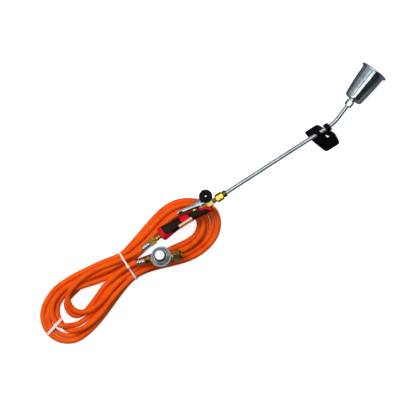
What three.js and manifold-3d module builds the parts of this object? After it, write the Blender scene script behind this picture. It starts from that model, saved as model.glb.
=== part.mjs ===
// A propane roofing torch lying on its side: a spun burner bell on a bent lance with a bent sheet stand,
// a two-shell handle with a lever valve and a pilot valve, and a hose hank with a cylinder regulator.
// Millimetres, +Z up. In the torch's own axes the lance runs along +X towards the burner, the lever is on
// the +Y side and the floor is at z = 0. The whole group is moved so that the origin is under the middle
// of the torch.
import * as THREE from "three";
import { mergeVertices } from "three/addons/utils/BufferGeometryUtils.js";
import Module from "manifold-3d";

const wasm = await Module();
wasm.setup();

// ---------------------------------------------------------------- driving dimensions
const GAP = 0.3; // clearance between pieces that touch
const AXIS_HEIGHT = 46; // lance axis above the floor
const TORCH_CENTRE = [125.6, 18]; // middle of the torch's own box in the lance's axes

const LANCE_D = 10;
const LANCE_BORE_D = 7;
const LANCE_RUN = 293; // straight length, from the collar's face to the bend
const NECK_BEND_R = 75;
const NECK_ANGLE = 19.5;
const NECK_RUN = 59; // from the bend to the bell's base

const BELL_LENGTH = 88;
const BELL_BASE_R = 22.8;
const BELL_MOUTH_R = 29.3;
const BELL_RIM_R = 34.3;
const BELL_WALL = 1.3;
const BELL_VENTS = 8;
const BELL_NUT_FLATS = 17;

const LANCE_NUT_FLATS = 18;
const COLLAR_R = 8.4;

const HANDLE_HALF = 15; // half thickness at the rear
const GRIP_SKIN = 1.6;
const PASSAGE_Y = -2.2; // the gas passage through the handle, below the lance axis
const INLET_TILT = 3.5; // the hose end points slightly away from the lever
const HOSE_NUT_FLATS = 18;

const KNOB_CENTRE = [-47.5, 19.7];
const KNOB_R = 16.5;
const KNOB_HEIGHT = 14;
const LEVER_PIVOT = [-69, 10];
const LEVER_WIDTH = 19;
const LEVER_SHEET = 1.5;
const PLUNGER_X = -86;

const SHEET = 2.4; // the stand's thickness
const STAND_WINDOW_R = 5.5; // half width of the loops round the lance

const HOSE_D = 13.3;
const TORCH_HOSE_FROM = 51.5; // from the handle's rear to where the hose leaves its ferrule
const REGULATOR_HOSE_FROM = 62;
const FERRULE_R = 7.5;
const HANK_BASE = 1.6; // the hank lies on its ties
const PINCH_X = -296;

const REGULATOR_CENTRE = [-215.3, -48.2, 45.5];
const REGULATOR_TURN = -23; // pipe axis, seen from above
const REGULATOR_PITCH = -6; // the outlet is lower than the inlet
const REGULATOR_LEAN = -12; // the cap leans towards the lever side
const REGULATOR_R = 23.6;
const SEAM = 14; // where the regulator's body ends and its diaphragm begins, above the pipe axis
const INLET_NUT_FLATS = 27;

// ---------------------------------------------------------------- materials
function finish(color, roughness, metalness) {
  return new THREE.MeshStandardMaterial({ color, roughness, metalness });
}
const CHROME = finish(0xc9d2d6, 0.12, 1);
const STEEL = finish(0xb8bcc0, 0.3, 1);
const BRASS = finish(0xb08a2e, 0.28, 1);
const DARK_BRASS = finish(0x7d5f24, 0.4, 1);
const ZINC = finish(0x9aa4aa, 0.4, 0.9);
const BLACK_PAINT = finish(0x0c0d10, 0.45, 0);
const BLACK_PLASTIC = finish(0x101113, 0.4, 0);
const BLACK_RUBBER = finish(0x1c1816, 0.7, 0);
const RED_PLASTIC = finish(0xc1112b, 0.35, 0);
const LABEL = finish(0xf1e3cf, 0.4, 0);
const ORANGE_RUBBER = finish(0xe25a17, 0.45, 0);
const WHITE_NYLON = finish(0xf0e6e0, 0.4, 0);

// ---------------------------------------------------------------- shape helpers
const degrees = THREE.MathUtils.degToRad;

// Points on an arc in a flat outline, first and last included.
function arc(x, y, r, fromDegrees, toDegrees, steps) {
  return Array.from({ length: steps + 1 }, (_, i) => {
    const angle = degrees(fromDegrees + ((toDegrees - fromDegrees) * i) / steps);
    return [x + r * Math.cos(angle), y + r * Math.sin(angle)];
  });
}

// A body of revolution about X from [distance along X, radius] pairs.
function spun(profile, sides = 20) {
  const points = profile.map(([along, radius]) => new THREE.Vector2(radius, along));
  if (THREE.ShapeUtils.area(points) < 0) points.reverse();
  if (points[0].x > 0) points.push(points[0].clone());
  return new THREE.LatheGeometry(points, sides).rotateZ(-Math.PI / 2);
}

function rod(from, to, r, sides = 16) {
  return spun([[from, 0], [from, r], [to, r], [to, 0]], sides);
}

// A rod with its end edges bevelled.
function bevelledRod(from, to, r, bevel, sides = 32) {
  const flat = r - bevel;
  return spun([[from, 0], [from, flat], [from + bevel, r], [to - bevel, r], [to, flat], [to, 0]], sides);
}

function outline(points) {
  return new THREE.Shape(points.map(([x, y]) => new THREE.Vector2(x, y)));
}

// An outline with every corner rounded off.
function roundedOutline(points, radius, steps = 3) {
  const rounded = points.flatMap((point, i) => {
    const corner = new THREE.Vector2(...point);
    const before = new THREE.Vector2(...points.at(i - 1)).sub(corner);
    const after = new THREE.Vector2(...points[(i + 1) % points.length]).sub(corner);
    const cut = Math.min(radius, before.length() / 2.1, after.length() / 2.1);
    const start = corner.clone().addScaledVector(before.normalize(), cut);
    const end = corner.clone().addScaledVector(after.normalize(), cut);
    const round = new THREE.QuadraticBezierCurve(start, corner, end);
    return round.getPoints(steps);
  });
  return new THREE.Shape(rounded);
}

// A closed smooth outline through the given points.
function smoothOutline(points, steps) {
  const through = points.map(([x, y]) => new THREE.Vector3(x, y, 0));
  const curve = new THREE.CatmullRomCurve3(through, true, "centripetal");
  return curve.getSpacedPoints(steps).slice(0, -1).map((p) => [p.x, p.y]);
}

// A flat strip of even thickness along a chain of points.
function strip(points, thickness) {
  const chain = points.map(([x, y]) => new THREE.Vector2(x, y));
  const side = (sign) =>
    chain.map((point, i) => {
      const a = chain[Math.max(i - 1, 0)];
      const b = chain[Math.min(i + 1, chain.length - 1)];
      const before = point.clone().sub(a).normalize();
      const after = b.clone().sub(point).normalize();
      const along = before.add(after).normalize();
      const reach = (b === point || a === point) ? 1 : 1 / along.dot(point.clone().sub(a).normalize());
      return new THREE.Vector2(point.x - along.y * sign * reach * thickness / 2,
        point.y + along.x * sign * reach * thickness / 2);
    });
  return new THREE.Shape([...side(-1), ...side(1).reverse()]);
}

// An outline in XY given a height from z = low to z = high.
function slab(shape, low, high, bevel = 0, bevelSteps = 1) {
  const geometry = new THREE.ExtrudeGeometry(shape, {
    depth: high - low - 2 * bevel,
    bevelEnabled: bevel > 0,
    bevelThickness: bevel,
    bevelSize: bevel,
    bevelOffset: -bevel,
    bevelSegments: bevelSteps,
    curveSegments: 6,
  });
  return geometry.translate(0, 0, low + bevel);
}

// Turns an outline drawn in (Y, Z) and given a height along Z so that the height runs along X.
function layAlongX(geometry) {
  const turn = new THREE.Matrix4().makeBasis(
    new THREE.Vector3(0, 1, 0), new THREE.Vector3(0, 0, 1), new THREE.Vector3(1, 0, 0));
  return geometry.applyMatrix4(turn);
}

// Turns a body of revolution about X so that its axis runs along Z, or along Y.
const standUp = (geometry) => geometry.rotateY(-Math.PI / 2);
const pointToLever = (geometry) => geometry.rotateZ(Math.PI / 2);

// ---------------------------------------------------------------- solids for cutting and joining
function solid(geometry) {
  const bare = geometry.clone();
  bare.deleteAttribute("normal");
  bare.deleteAttribute("uv");
  const merged = mergeVertices(bare, 1e-4);
  const index = merged.index.array;
  const corners = [];
  for (let i = 0; i < index.length; i += 3) {
    const [a, b, c] = index.slice(i, i + 3);
    if (a !== b && b !== c && c !== a) corners.push(a, b, c);
  }
  return new wasm.Manifold(new wasm.Mesh({
    numProp: 3,
    vertProperties: new Float32Array(merged.attributes.position.array),
    triVerts: new Uint32Array(corners),
  }));
}

function shapeOf(manifold) {
  const mesh = manifold.getMesh();
  const geometry = new THREE.BufferGeometry();
  geometry.setAttribute("position", new THREE.BufferAttribute(mesh.vertProperties, 3));
  geometry.setIndex(new THREE.BufferAttribute(mesh.triVerts, 1));
  return geometry;
}

const join = (...geometries) => shapeOf(geometries.map(solid).reduce((whole, next) => whole.add(next)));
const cut = (geometry, ...tools) =>
  shapeOf(tools.map(solid).reduce((left, tool) => left.subtract(tool), solid(geometry)));
const common = (a, b) => shapeOf(solid(a).intersect(solid(b)));

// A hexagonal nut on the X axis with turned-off corners and a stepped bore of [distance, radius] pairs.
function hexNut(flats, from, to, bore, chamfer = 1.2) {
  const corner = flats / Math.sqrt(3);
  const bar = new THREE.CylinderGeometry(corner, corner, to - from, 6)
    .rotateZ(-Math.PI / 2).translate((from + to) / 2, 0, 0);
  const face = flats / 2 - 0.2;
  const turned = spun([[from, 0], [from, face], [from + chamfer, corner + 0.1],
    [to - chamfer, corner + 0.1], [to, face], [to, 0]]);
  const hole = spun([[bore[0][0], 0], ...bore, [bore.at(-1)[0], 0]], 16);
  return cut(common(bar, turned), hole);
}

// A crimped ferrule on the X axis with pressed rings.
function ferrule(from, to, r, boreR) {
  const rings = 2;
  const pitch = (to - from) / (rings + 0.5);
  const crimps = Array.from({ length: rings }, (_, i) => {
    const middle = from + pitch * (i + 0.75);
    return [[middle - 1.8, r], [middle - 0.9, r - 0.7], [middle + 0.9, r - 0.7], [middle + 1.8, r]];
  }).flat();
  const start = [[from, boreR], [from, r - 0.4], [from + 0.5, r]];
  const end = [[to - 0.5, r], [to, r - 0.4], [to, boreR]];
  return spun([...start, ...crimps, ...end], 16);
}

// A coil spring along X.
function coilSpring(from, to, r, wire, turns) {
  class Coil extends THREE.Curve {
    getPoint(t) {
      const angle = 2 * Math.PI * turns * t;
      const along = from + wire / 2 + (to - from - wire) * t;
      return new THREE.Vector3(along, r * Math.cos(angle), r * Math.sin(angle));
    }
  }
  const section = outline(arc(0, 0, wire / 2, 0, 300, 5));
  return new THREE.ExtrudeGeometry(section, { steps: turns * 12, extrudePath: new Coil() });
}

function add(parent, name, geometry, material) {
  const mesh = new THREE.Mesh(geometry, material);
  mesh.name = name;
  parent.add(mesh);
  return mesh;
}

// ---------------------------------------------------------------- burner
// Drawn on the bell's own axis, with its base plane at x = 0 and its mouth towards +X.
function makeBell() {
  const shoulder = 7;
  const rimR = (BELL_RIM_R - BELL_MOUTH_R) / 2;
  const rimX = BELL_LENGTH - rimR;
  const outer = [
    [0, 6.3],
    ...arc(shoulder, BELL_BASE_R - shoulder, shoulder, 180, 90, 3),
    [rimX - rimR * 0.8, BELL_MOUTH_R],
    ...arc(rimX, BELL_MOUTH_R + rimR, rimR, 225, -90, 6),
  ];
  const inner = [
    [rimX - rimR * 0.8, BELL_MOUTH_R - BELL_WALL],
    ...arc(shoulder, BELL_BASE_R - shoulder, shoulder - BELL_WALL, 90, 180, 3),
    [BELL_WALL, 6.3],
  ];
  const shell = spun([...outer, ...inner], 32);
  const vents = Array.from({ length: BELL_VENTS }, (_, i) =>
    rod(0, BELL_BASE_R, 2.1, 8)
      .rotateY(-Math.PI / 2)
      .rotateY(degrees(-32))
      .translate(19.5, 0, 0)
      .rotateX((2 * Math.PI * (i + 0.25)) / BELL_VENTS));
  const ventRoom = vents.map((vent) => common(vent, spun([[-2, 12], [14, 12], [14, 30], [-2, 30]], 16)));
  return cut(shell, ...ventRoom);
}

function makeBellNut() {
  const nut = hexNut(BELL_NUT_FLATS, -19, -4, [[-20, LANCE_D / 2 + GAP], [-3, LANCE_D / 2 + GAP]]);
  return nut.rotateX(Math.PI / 6);
}

// The brass holder that clamps the bell and carries the jet, with side ports that draw in air.
function makeJetHolder() {
  const body = spun([
    [-11, 1.6], [-11, 5], [-4.3, 5], [-4.3 + GAP, 5], [-3.7, 8], [-GAP, 8], [-GAP, 6], [BELL_WALL + GAP, 6],
    [BELL_WALL + GAP, 10], [5, 10], [6, 9], [8, 7.5], [24, 7.5], [25, 6.5], [25, 4.3], [12, 4.3], [12, 1.6],
  ], 16);
  const ports = Array.from({ length: 4 }, (_, i) =>
    standUp(rod(3, 9, 1.8, 10)).translate(17, 0, 0).rotateX((Math.PI * i) / 2));
  return cut(body, ...ports);
}

function makeGasJet() {
  return spun([
    [13, 0.8], [13, 3.9], [27, 3.9], [29, 5.2], [33, 5.2], [35, 3], [35, 0.8],
  ], 16);
}

// ---------------------------------------------------------------- lance
// The lance's centreline: a straight run, a bend towards the lever side and a short straight neck.
class LancePath extends THREE.Curve {
  constructor(start, neck, bendSteps) {
    super();
    this.start = start;
    this.neck = neck;
    this.steps = bendSteps + 2;
  }
  place(t) {
    const step = t * this.steps;
    const angle = degrees(NECK_ANGLE) * THREE.MathUtils.clamp((step - 1) / (this.steps - 2), 0, 1);
    const before = THREE.MathUtils.lerp(this.start - LANCE_RUN, 0, Math.min(step, 1));
    const after = this.neck * Math.max(step - this.steps + 1, 0);
    return { angle, run: before + after };
  }
  getPoint(t) {
    const { angle, run } = this.place(t);
    return new THREE.Vector3(
      LANCE_RUN + NECK_BEND_R * Math.sin(angle) + run * Math.cos(angle),
      NECK_BEND_R * (1 - Math.cos(angle)) + run * Math.sin(angle),
      0);
  }
  getTangent(t) {
    const { angle } = this.place(t);
    return new THREE.Vector3(Math.cos(angle), Math.sin(angle), 0);
  }
  getPointAt(u) {
    return this.getPoint(u);
  }
  getTangentAt(u) {
    return this.getTangent(u);
  }
}

function makeLanceTube() {
  const wall = outline(arc(0, 0, LANCE_D / 2, 0, 337.5, 15));
  wall.holes.push(new THREE.Path(outline(arc(0, 0, LANCE_BORE_D / 2, 0, -315, 7)).getPoints()));
  const path = new LancePath(-11, NECK_RUN - 12, 8);
  return new THREE.ExtrudeGeometry(wall, { steps: path.steps, extrudePath: path });
}

// The dark collar that the union nut pulls onto the valve body.
function makeLanceCollar() {
  const bore = LANCE_D / 2 + GAP;
  return spun([
    [-1.2, bore], [-1.2, 7], [-2.6, COLLAR_R], [-9.6, COLLAR_R], [-10.9, 7.4], [-11.3, 6],
    [-14.9, 6], [-14.9, 6.6], [-18.4, 6.6], [-20.6, 4.5], [-20.6, 3], [-11.4, 3], [-11.4, bore],
  ], 16);
}

function makeLanceNut() {
  const nut = hexNut(LANCE_NUT_FLATS, -30, -11.7, [[-31, 7.1], [-14.6, 7.1], [-14.6, 6.4], [-11, 6.4]]);
  return nut.rotateX(Math.PI / 6);
}

// ---------------------------------------------------------------- stand
// A plate folded to an upside-down V under the lance, with two loops pressed out over the lance.
function makeStand() {
  const under = -(LANCE_D / 2 + 0.4 + SHEET / 2);
  const foot = -AXIS_HEIGHT + SHEET * 0.35;
  const fold = strip([
    [19.5, -17], [9, under - 0.6], [5, under], [-7, under], [-12, under - 2.6], [-49, foot - 2.6],
  ], SHEET);
  const sheetEnd = 300;
  const sheet = layAlongX(slab(fold, 230, sheetEnd));
  const plan = roundedOutline([
    [235, 21], [272, 21], [279, 6], [297, -20], [297, -49], [257, -49], [238, -3],
  ], 7);
  const plate = common(sheet, slab(plan, -AXIS_HEIGHT - 9, 9));
  const archR = STAND_WINDOW_R + SHEET / 2;
  const arch = strip([
    [archR + 3, under - 0.2], [archR, -3], ...arc(0, 0, archR, 0, 180, 8), [-archR, -3],
    [-archR - 3, under - 0.2],
  ], SHEET);
  const archRun = layAlongX(slab(arch, 230, sheetEnd));
  const strapPlan = outline([[250, 14], [262, 14], [272, -14], [260, -14]]);
  const tabPlan = roundedOutline([[280, 15], [293, 12], [296, -14], [283, -14]], 3);
  const strap = common(archRun, slab(strapPlan, -10, 10));
  const tab = common(archRun, slab(tabPlan, -10, 10));
  const window = slab(outline([[274, -12], [282, -20], [276, -21]]), -60, 10);
  const below = outline([[200, -80], [320, -80], [320, 40], [200, 40]]);
  const footCut = slab(below, -AXIS_HEIGHT - 20, -AXIS_HEIGHT);
  return cut(join(plate, strap, tab), window, footCut);
}

// ---------------------------------------------------------------- valve
function makeValveBody() {
  const outlet = spun([[-44, 0], [-44, 5.4], [-31, 5.4], [-31, 6.8], [-21.4, 6.8], [-21.4, 0]], 24);
  const neckHex = new THREE.CylinderGeometry(7, 7, 4, 6).rotateZ(-Math.PI / 2).translate(-36.5, 0, 0);
  const headPlan = [[-57.4, -7], [-41, -7], [-38, 14], [-42, 30], [-54, 30], [-57.4, 14]];
  const head = slab(roundedOutline(headPlan, 4), -9, 9, 1);
  const flange = slab(outline([[-46, -15], [-43.4, -15], [-43.4, 2], [-46, 2]]), -6, 6);
  const ear = slab(roundedOutline([[-76, -6], [-57, -6], [-57, 15], [-74, 15]], 3), -7, 7);
  const low = PASSAGE_Y - 5;
  const high = PASSAGE_Y + 4;
  const passage = slab(outline([[-101, low], [-57, low], [-57, high], [-101, high]]), -7, 7);
  const chamber = pointToLever(rod(-9, 4.4, 6.4)).translate(PLUNGER_X, 0, 0);
  const boss = standUp(rod(7, 12, 8)).translate(...KNOB_CENTRE, 0);
  const bores = [
    rod(-50, -20, 2.5, 16),
    standUp(rod(-2, 20, 3.4, 16)).translate(...KNOB_CENTRE, 0),
    pointToLever(rod(-7.8, 20, 2.8, 16)).translate(PLUNGER_X, 0, 0),
    standUp(rod(-20, 20, 2.3, 16)).translate(...LEVER_PIVOT, 0),
    rod(-110, -95, 2.6).translate(0, PASSAGE_Y, 0),
  ];
  return cut(join(outlet, neckHex, head, flange, ear, passage, chamber, boss), ...bores);
}

function makePilotSpindle() {
  return standUp(spun([[-1.5, 0], [1, 2.9], [26.4, 2.9], [26.4, 0]], 16)).translate(...KNOB_CENTRE, 0);
}

function makeSpindleNut() {
  return standUp(hexNut(13, 12.3, 17.6, [[12, 3.2], [18, 3.2]])).translate(...KNOB_CENTRE, 0);
}

// A shallow eight-lobed knob with a dished middle that hides its screw.
function makePilotKnob() {
  const lobes = 8;
  const steps = lobes * 4;
  const rim = Array.from({ length: steps }, (_, i) => {
    const angle = (2 * Math.PI * i) / steps;
    const r = KNOB_R - 0.45 * (1 - Math.cos(lobes * angle));
    return [r * Math.cos(angle), r * Math.sin(angle)];
  });
  const base = 18.4;
  const body = slab(outline(rim), base, base + KNOB_HEIGHT, 2);
  const above = base + KNOB_HEIGHT + 1;
  const dish = standUp(spun([[base + 9, 0], [base + 9, 4.6], [above, 5.8], [above, 0]], 24));
  const bore = standUp(rod(base - 1, 26.4 + GAP, 3.2, 16));
  return cut(body, dish, bore).translate(...KNOB_CENTRE, 0);
}

function makeKnobScrew() {
  const head = spun([[27.7, 0], [27.7, 3.6], [29.4, 3.6], [30.4, 2.6], [30.6, 0]], 20);
  const slot = new THREE.BoxGeometry(1.4, 8, 0.9).translate(30.4, 0, 0);
  return standUp(cut(head, slot)).translate(...KNOB_CENTRE, 0);
}

// The lever is a pressed channel, open towards the handle, with a wide front wing and a rolled rear end.
function makeLever() {
  const half = LEVER_WIDTH / 2;
  const side = [
    [-113, 15.4], ...arc(-122, 21.4, 5, 260, 100, 5), [-80, 19], [-71, 24.6], [-61.5, 24.6],
    [-58.5, 20], [-58.5, 6], [-63, 3.6], [-78, 7],
  ];
  const press = slab(outline(side), -half, half, 0.8);
  const room = outline([
    [-114, 4], [-117, 18.8], [-116, 23], [-80, 17.3], [-70, 22.9], [-54, 22.9], [-54, 0], [-80, 0],
  ]);
  const hollow = slab(room, -half + LEVER_SHEET, half - LEVER_SHEET);
  const pinHole = standUp(rod(-20, 20, 2.5, 16)).translate(...LEVER_PIVOT, 0);
  const slotPlan = roundedOutline([[-124, 19.8], [-124, 23.2], [-113, 21.2], [-113, 17.8]], 1.6);
  const slot = slab(slotPlan, -20, 20);
  return cut(press, hollow, pinHole, slot);
}

function makeLeverPin() {
  const half = LEVER_WIDTH / 2;
  const pin = spun([[-half - 2, 0], [-half - 2, 3.4], [-half - GAP, 3.4], [-half - GAP, 2], [half + GAP, 2],
    [half + GAP, 3.4], [half + 2, 3.4], [half + 2, 0]], 20);
  return standUp(pin).translate(...LEVER_PIVOT, 0);
}

function makePlunger() {
  const stem = [[-5.5, 0], [-5.5, 2.5], [14.6, 2.5]];
  const head = [[14.6, 4.2], [16.6, 4.2], [17.4, 2], [17.4, 0]];
  return pointToLever(spun([...stem, ...head])).translate(PLUNGER_X, 0, 0);
}

function makePlungerNut() {
  return pointToLever(hexNut(12, 4.7, 9.4, [[4, 2.8], [10, 2.8]], 0.8)).translate(PLUNGER_X, 0, 0);
}

function makeLeverSpring() {
  return pointToLever(coilSpring(9.7, 12.8, 3.7, 0.8, 2)).translate(PLUNGER_X, 0, 0);
}

// ---------------------------------------------------------------- handle
// Stations along the handle: [x, top, bottom, half thickness].
const HANDLE_STATIONS = [
  [-190, 11, -10.5, 9], [-188, 16, -14.5, 12.4], [-184, 18, -17, 14.2], [-176, 17.2, -16.4, HANDLE_HALF],
  [-155, 14.4, -13.8, HANDLE_HALF], [-130, 12.4, -12, 14.4], [-118, 10.4, -12, 14], [-107, 7.7, -12.8, 13.6],
  [-82, 4.6, -15.4, 13], [-62, 1, -17, 12.4], [-54, -3.6, -18.4, 11.6], [-50, -8, -18, 10],
  [-48.5, -11, -16, 7],
];
const HANDLE_SQUARENESS = 2.7; // 2 is an ellipse, higher is squarer

// The handle's rounded outside, drawn in all round by inset: a cylinder shaped station by station.
function handleForm(inset) {
  const sides = 20;
  const rearEnd = HANDLE_STATIONS[0][0];
  const frontEnd = HANDLE_STATIONS.at(-1)[0];
  const runs = HANDLE_STATIONS.length - 1;
  const lines = [1, 2, 3].map((column) => {
    const through = HANDLE_STATIONS.map((station) => new THREE.Vector3(station[0], station[column], 0));
    return new THREE.CatmullRomCurve3(through, false, "centripetal");
  });
  const geometry = new THREE.CylinderGeometry(1, 1, 1, sides, runs).rotateZ(-Math.PI / 2);
  const middle = (rearEnd + frontEnd) / 2;
  const shorten = 1 - (2 * inset) / (frontEnd - rearEnd);
  const round = (value) => Math.sign(value) * Math.abs(value) ** (2 / HANDLE_SQUARENESS);
  const place = geometry.attributes.position;
  for (let i = 0; i < place.count; i += 1) {
    const share = place.getX(i) + 0.5;
    const [top, bottom, half] = lines.map((line) => line.getPoint(share));
    const height = (top.y - bottom.y) / 2 - inset;
    place.setXYZ(i,
      middle + (top.x - middle) * shorten,
      (top.y + bottom.y) / 2 + height * round(place.getY(i)),
      (half.y - inset) * round(place.getZ(i)));
  }
  return geometry;
}

const REAR_GRIP = [[-179, 30], [-129, 30], [-129, -4], [-134, -30], [-152, -30], [-157, -11], [-178, -6]];
const FRONT_GRIP = [[-108, 30], [-84, 30], [-80, 0], [-58, -8], [-56, -30], [-103, -30], [-108, -6]];
const throughHandle = (points) => slab(outline(points), -30, 30);

// Room inside the shells for the valve body, the inlet tube and the plunger.
function handleRooms() {
  return [
    slab(outline([[-102, -8], [-57, -8], [-57, 2.6], [-102, 2.6]]), -7.5, 7.5),
    slab(outline([[-76.6, -8], [-56, -8], [-56, 20], [-76.6, 20]]), -7.5, 7.5),
    slab(outline([[-60, -7.6], [-30, -7.6], [-30, 20], [-60, 20]]), -9.6, 9.6),
    pointToLever(rod(-10, 20, 7.6)).translate(PLUNGER_X, 0, 0),
    rod(-195, -100, 4.4).translate(0, PASSAGE_Y, 0),
  ];
}

const screwRooms = () => screwPlaces().map(([x, y]) => standUp(rod(-30, -4, 3.6, 16)).translate(x, y, 0));

function makeShell(facing) {
  const low = facing > 0 ? GAP / 2 : -30;
  const high = facing > 0 ? 30 : -GAP / 2;
  const half = slab(outline([[-200, -30], [-30, -30], [-30, 30], [-200, 30]]), low, high);
  const gripRooms = [REAR_GRIP, FRONT_GRIP].map((zone) => {
    const skin = cut(handleForm(-5), handleForm(GRIP_SKIN + GAP));
    return common(skin, throughHandle(zone));
  });
  const rooms = facing > 0 ? handleRooms() : [...handleRooms(), ...screwRooms()];
  return common(cut(handleForm(0), ...gripRooms, ...rooms), half);
}

// A soft sleeve over the shells, with its ends clear of them.
function makeGrip(zone) {
  const sleeve = cut(handleForm(0), handleForm(GRIP_SKIN));
  const middle = (zone[0][0] + zone[1][0]) / 2;
  const between = zone.map(([x, y]) => [x + Math.sign(middle - x) * GAP, y]);
  return cut(common(sleeve, throughHandle(between)), ...handleRooms(), ...screwRooms());
}

// A blank label that follows the handle's lower shoulder.
function makeLabel() {
  const pad = cut(handleForm(-1.5), handleForm(-GAP));
  const place = slab(roundedOutline([[-141, -17], [-103, -17], [-103, -2.4], [-141, -3.2]], 1.2), 1, 30);
  return common(pad, place);
}

function screwPlaces() {
  return [[-184, 2], [-118, 3], [-66, -12]];
}

function makeHandleScrew(x, y) {
  const head = spun([[-11.4, 0], [-11.4, 3.1], [-9, 3.1], [-8.4, 1.6], [-4.6, 1.6], [-4.6, 0]], 16);
  const drive = new THREE.BoxGeometry(1.4, 4, 0.9).translate(-11.4, 0, 0);
  return standUp(cut(head, drive)).translate(x, y, 0);
}

function makeInletTube() {
  return spun([[-189.6, 2.4], [-189.6, 4], [-101.4, 4], [-101.4, 2.4]]).translate(0, PASSAGE_Y, 0);
}

// ---------------------------------------------------------------- hose ends, drawn on their own X axis
// Everything points from the fitting at x = 0 towards the hose at +X.
function makeInletFitting() {
  return spun([
    [0, 2.4], [0, 6], [1, 6.6], [3.2, 6.6], [3.6, 4.6], ...arc(9.2, 0, 6.6, 135, 45, 8), [14.6, 4.6], [14.6, 6.4],
    [24, 6.4], [25, 5.4], [25, 2.4],
  ], 16);
}

function makeHoseNut(from, length) {
  return hexNut(HOSE_NUT_FLATS, from, from + length, [[from - 1, 6.7], [from + length - 3, 6.7],
    [from + length - 3, 4.2], [from + length + 1, 4.2]]);
}

function makeHoseTail(from, to) {
  const barbs = [0.35, 0.7].flatMap((share) => {
    const x = from + (to - from) * share;
    return [[x, 3], [x + 1.8, 3.6]];
  });
  const collar = [[from - 2.6, 1.8], [from - 2.6, 5.8], [from, 5.8], [from, 3.9], [from + 3.6, 3.9]];
  return spun([...collar, [from + 3.6, 3], ...barbs, [to, 3], [to, 1.8]], 12);
}

// ---------------------------------------------------------------- regulator, pipes along X, cap up
function upright(profile, sides = 28) {
  return standUp(spun(profile, sides));
}

function makeRegulatorBody() {
  const flange = REGULATOR_R - 1;
  const bowl = upright([
    [-13, 0], [-13, 14], [-8.5, 19], [9, 20.6], [10.4, flange], [SEAM, flange], [SEAM, 0],
  ]);
  const outlet = spun([[-35, 0], [-35, 6.4], [-28, 6.4], [-27.6, 7.4], [-24, 8.6], [-10, 8.6], [-10, 0]], 16);
  const inlet = spun([[10, 0], [10, 9], [24, 9], [26, 7.6], [26.6, 7.6], [26.6, 0]], 16);
  const hollow = upright([[-2, 0], [-2, 15], [SEAM + 1, 18], [SEAM + 1, 0]], 20);
  const bores = [rod(-50, -8, 2.4), rod(8, 30, 5)];
  return cut(join(bowl, outlet, inlet), hollow, ...bores);
}

function makeClampRing() {
  const inside = REGULATOR_R - 0.7;
  return upright([[10.2, inside], [10.2, REGULATOR_R + 0.4], [11, REGULATOR_R + 1.2], [18, REGULATOR_R + 1.2],
    [19.2, REGULATOR_R], [19.2, REGULATOR_R - 2.4], [18.3, REGULATOR_R - 2.4], [18.3, inside]]);
}

function makeDiaphragm() {
  return upright([[SEAM + GAP, 0], [SEAM + GAP, 21.8], [SEAM + 1.5, 21.8], [SEAM + 1.5, 0]], 24);
}

function makeDiaphragmPlate() {
  const low = SEAM + 1.8;
  return upright([[low, 0], [low, 11], [low + 1.2, 11], [low + 2, 4], [low + 3.2, 4], [low + 3.2, 0]], 16);
}

function makeRegulatorSpring() {
  return standUp(coilSpring(SEAM + 3.3, SEAM + 8.4, 8.6, 1.2, 2));
}

function makeBonnet() {
  const flange = REGULATOR_R - 1;
  const low = SEAM + 1.8;
  return upright([
    [low, 16], [low, flange], [18, flange], [18, 20.4], [19.4, 20.2], [22.8, 17.2], [26.6, 16.4],
    [27.6, 15.6], [27.6, 14.4], [26.6, 13.7], [20.6, 13.7], [18.6, 16],
  ]);
}

function makeSpringCap() {
  const low = SEAM + 8.8;
  const top = 25.6;
  const cap = upright([[low, 0], [low, 12.4], [top - 1.2, 13], [top, 12.2], [top, 0]]);
  const dimple = [[top - 0.6, 0], [top - 0.6, 1.6], [top + 1, 1.6], [top + 1, 0]];
  const dimples = [-1, 1].map((side) => upright(dimple, 12).translate(side * 6.5, 0, 0));
  return cut(cap, ...dimples);
}

function makeValveLever() {
  const arm = new THREE.BoxGeometry(14, 4, 1.4).translate(3, 0, 6);
  const toe = new THREE.BoxGeometry(1.6, 4, 7.4).translate(9.2, 0, 3);
  return join(arm, toe);
}

function makePoppet() {
  return spun([[10.4, 0], [10.4, 3], [20, 3], [21, 4.6], [24, 4.6], [24, 0]], 16);
}

function makeInletNipple() {
  return spun([[26.9, 3], [26.9, 8], [28.6, 8], [28.6, 6.6], [41, 6.6], [41, 9.6], [44, 9.6], [44, 6.5],
    [49, 6.5], [49, 3]]);
}

function makeInletNut() {
  return hexNut(INLET_NUT_FLATS, 29, 43.6, [[28, 7], [40.6, 7], [40.6, 10.4], [44, 10.4]], 1.8);
}

function makeInletGasket() {
  return spun([[44.4, 6.8], [44.4, 10.4], [46.6, 10.4], [47.6, 9.4], [47.6, 6.8]]);
}

// ---------------------------------------------------------------- hose
// Centreline of the hank's outermost strand, anticlockwise from above, pinched where the tie holds it.
const HANK_OUTER = [
  [-296, 9.5], [-341, 16], [-403, 25], [-452, 28], [-491, 20], [-522, 6], [-542, -13], [-550.5, -46],
  [-543, -74], [-522, -95], [-494, -104], [-450, -100.5], [-401, -84], [-353, -64.5], [-296, -47],
  [-211, -69.6], [-160, -84], [-118, -86.6], [-77.5, -73.4], [-54, -51.5], [-46.3, -32.5], [-48.8, -11],
  [-74, 22.4], [-104, 44.2], [-138, 49.6], [-178.5, 42.2], [-202, 36], [-240, 22.5],
];
const LEFT_HOLE = [[-464, -28], [-440, -6], [-395, 0], [-356, -16], [-372, -30], [-410, -48], [-440, -54]];
const RIGHT_HOLE = [
  [-250, -22], [-205, -6], [-150, 7], [-106, 1], [-92, -16], [-99, -36], [-140, -45], [-205, -35],
];

function grow(points, by) {
  return points.map((point, i) => {
    const a = new THREE.Vector2(...points.at(i - 1));
    const b = new THREE.Vector2(...points[(i + 1) % points.length]);
    const along = b.sub(a).normalize();
    return [point[0] + along.y * by, point[1] - along.x * by];
  });
}

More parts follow.
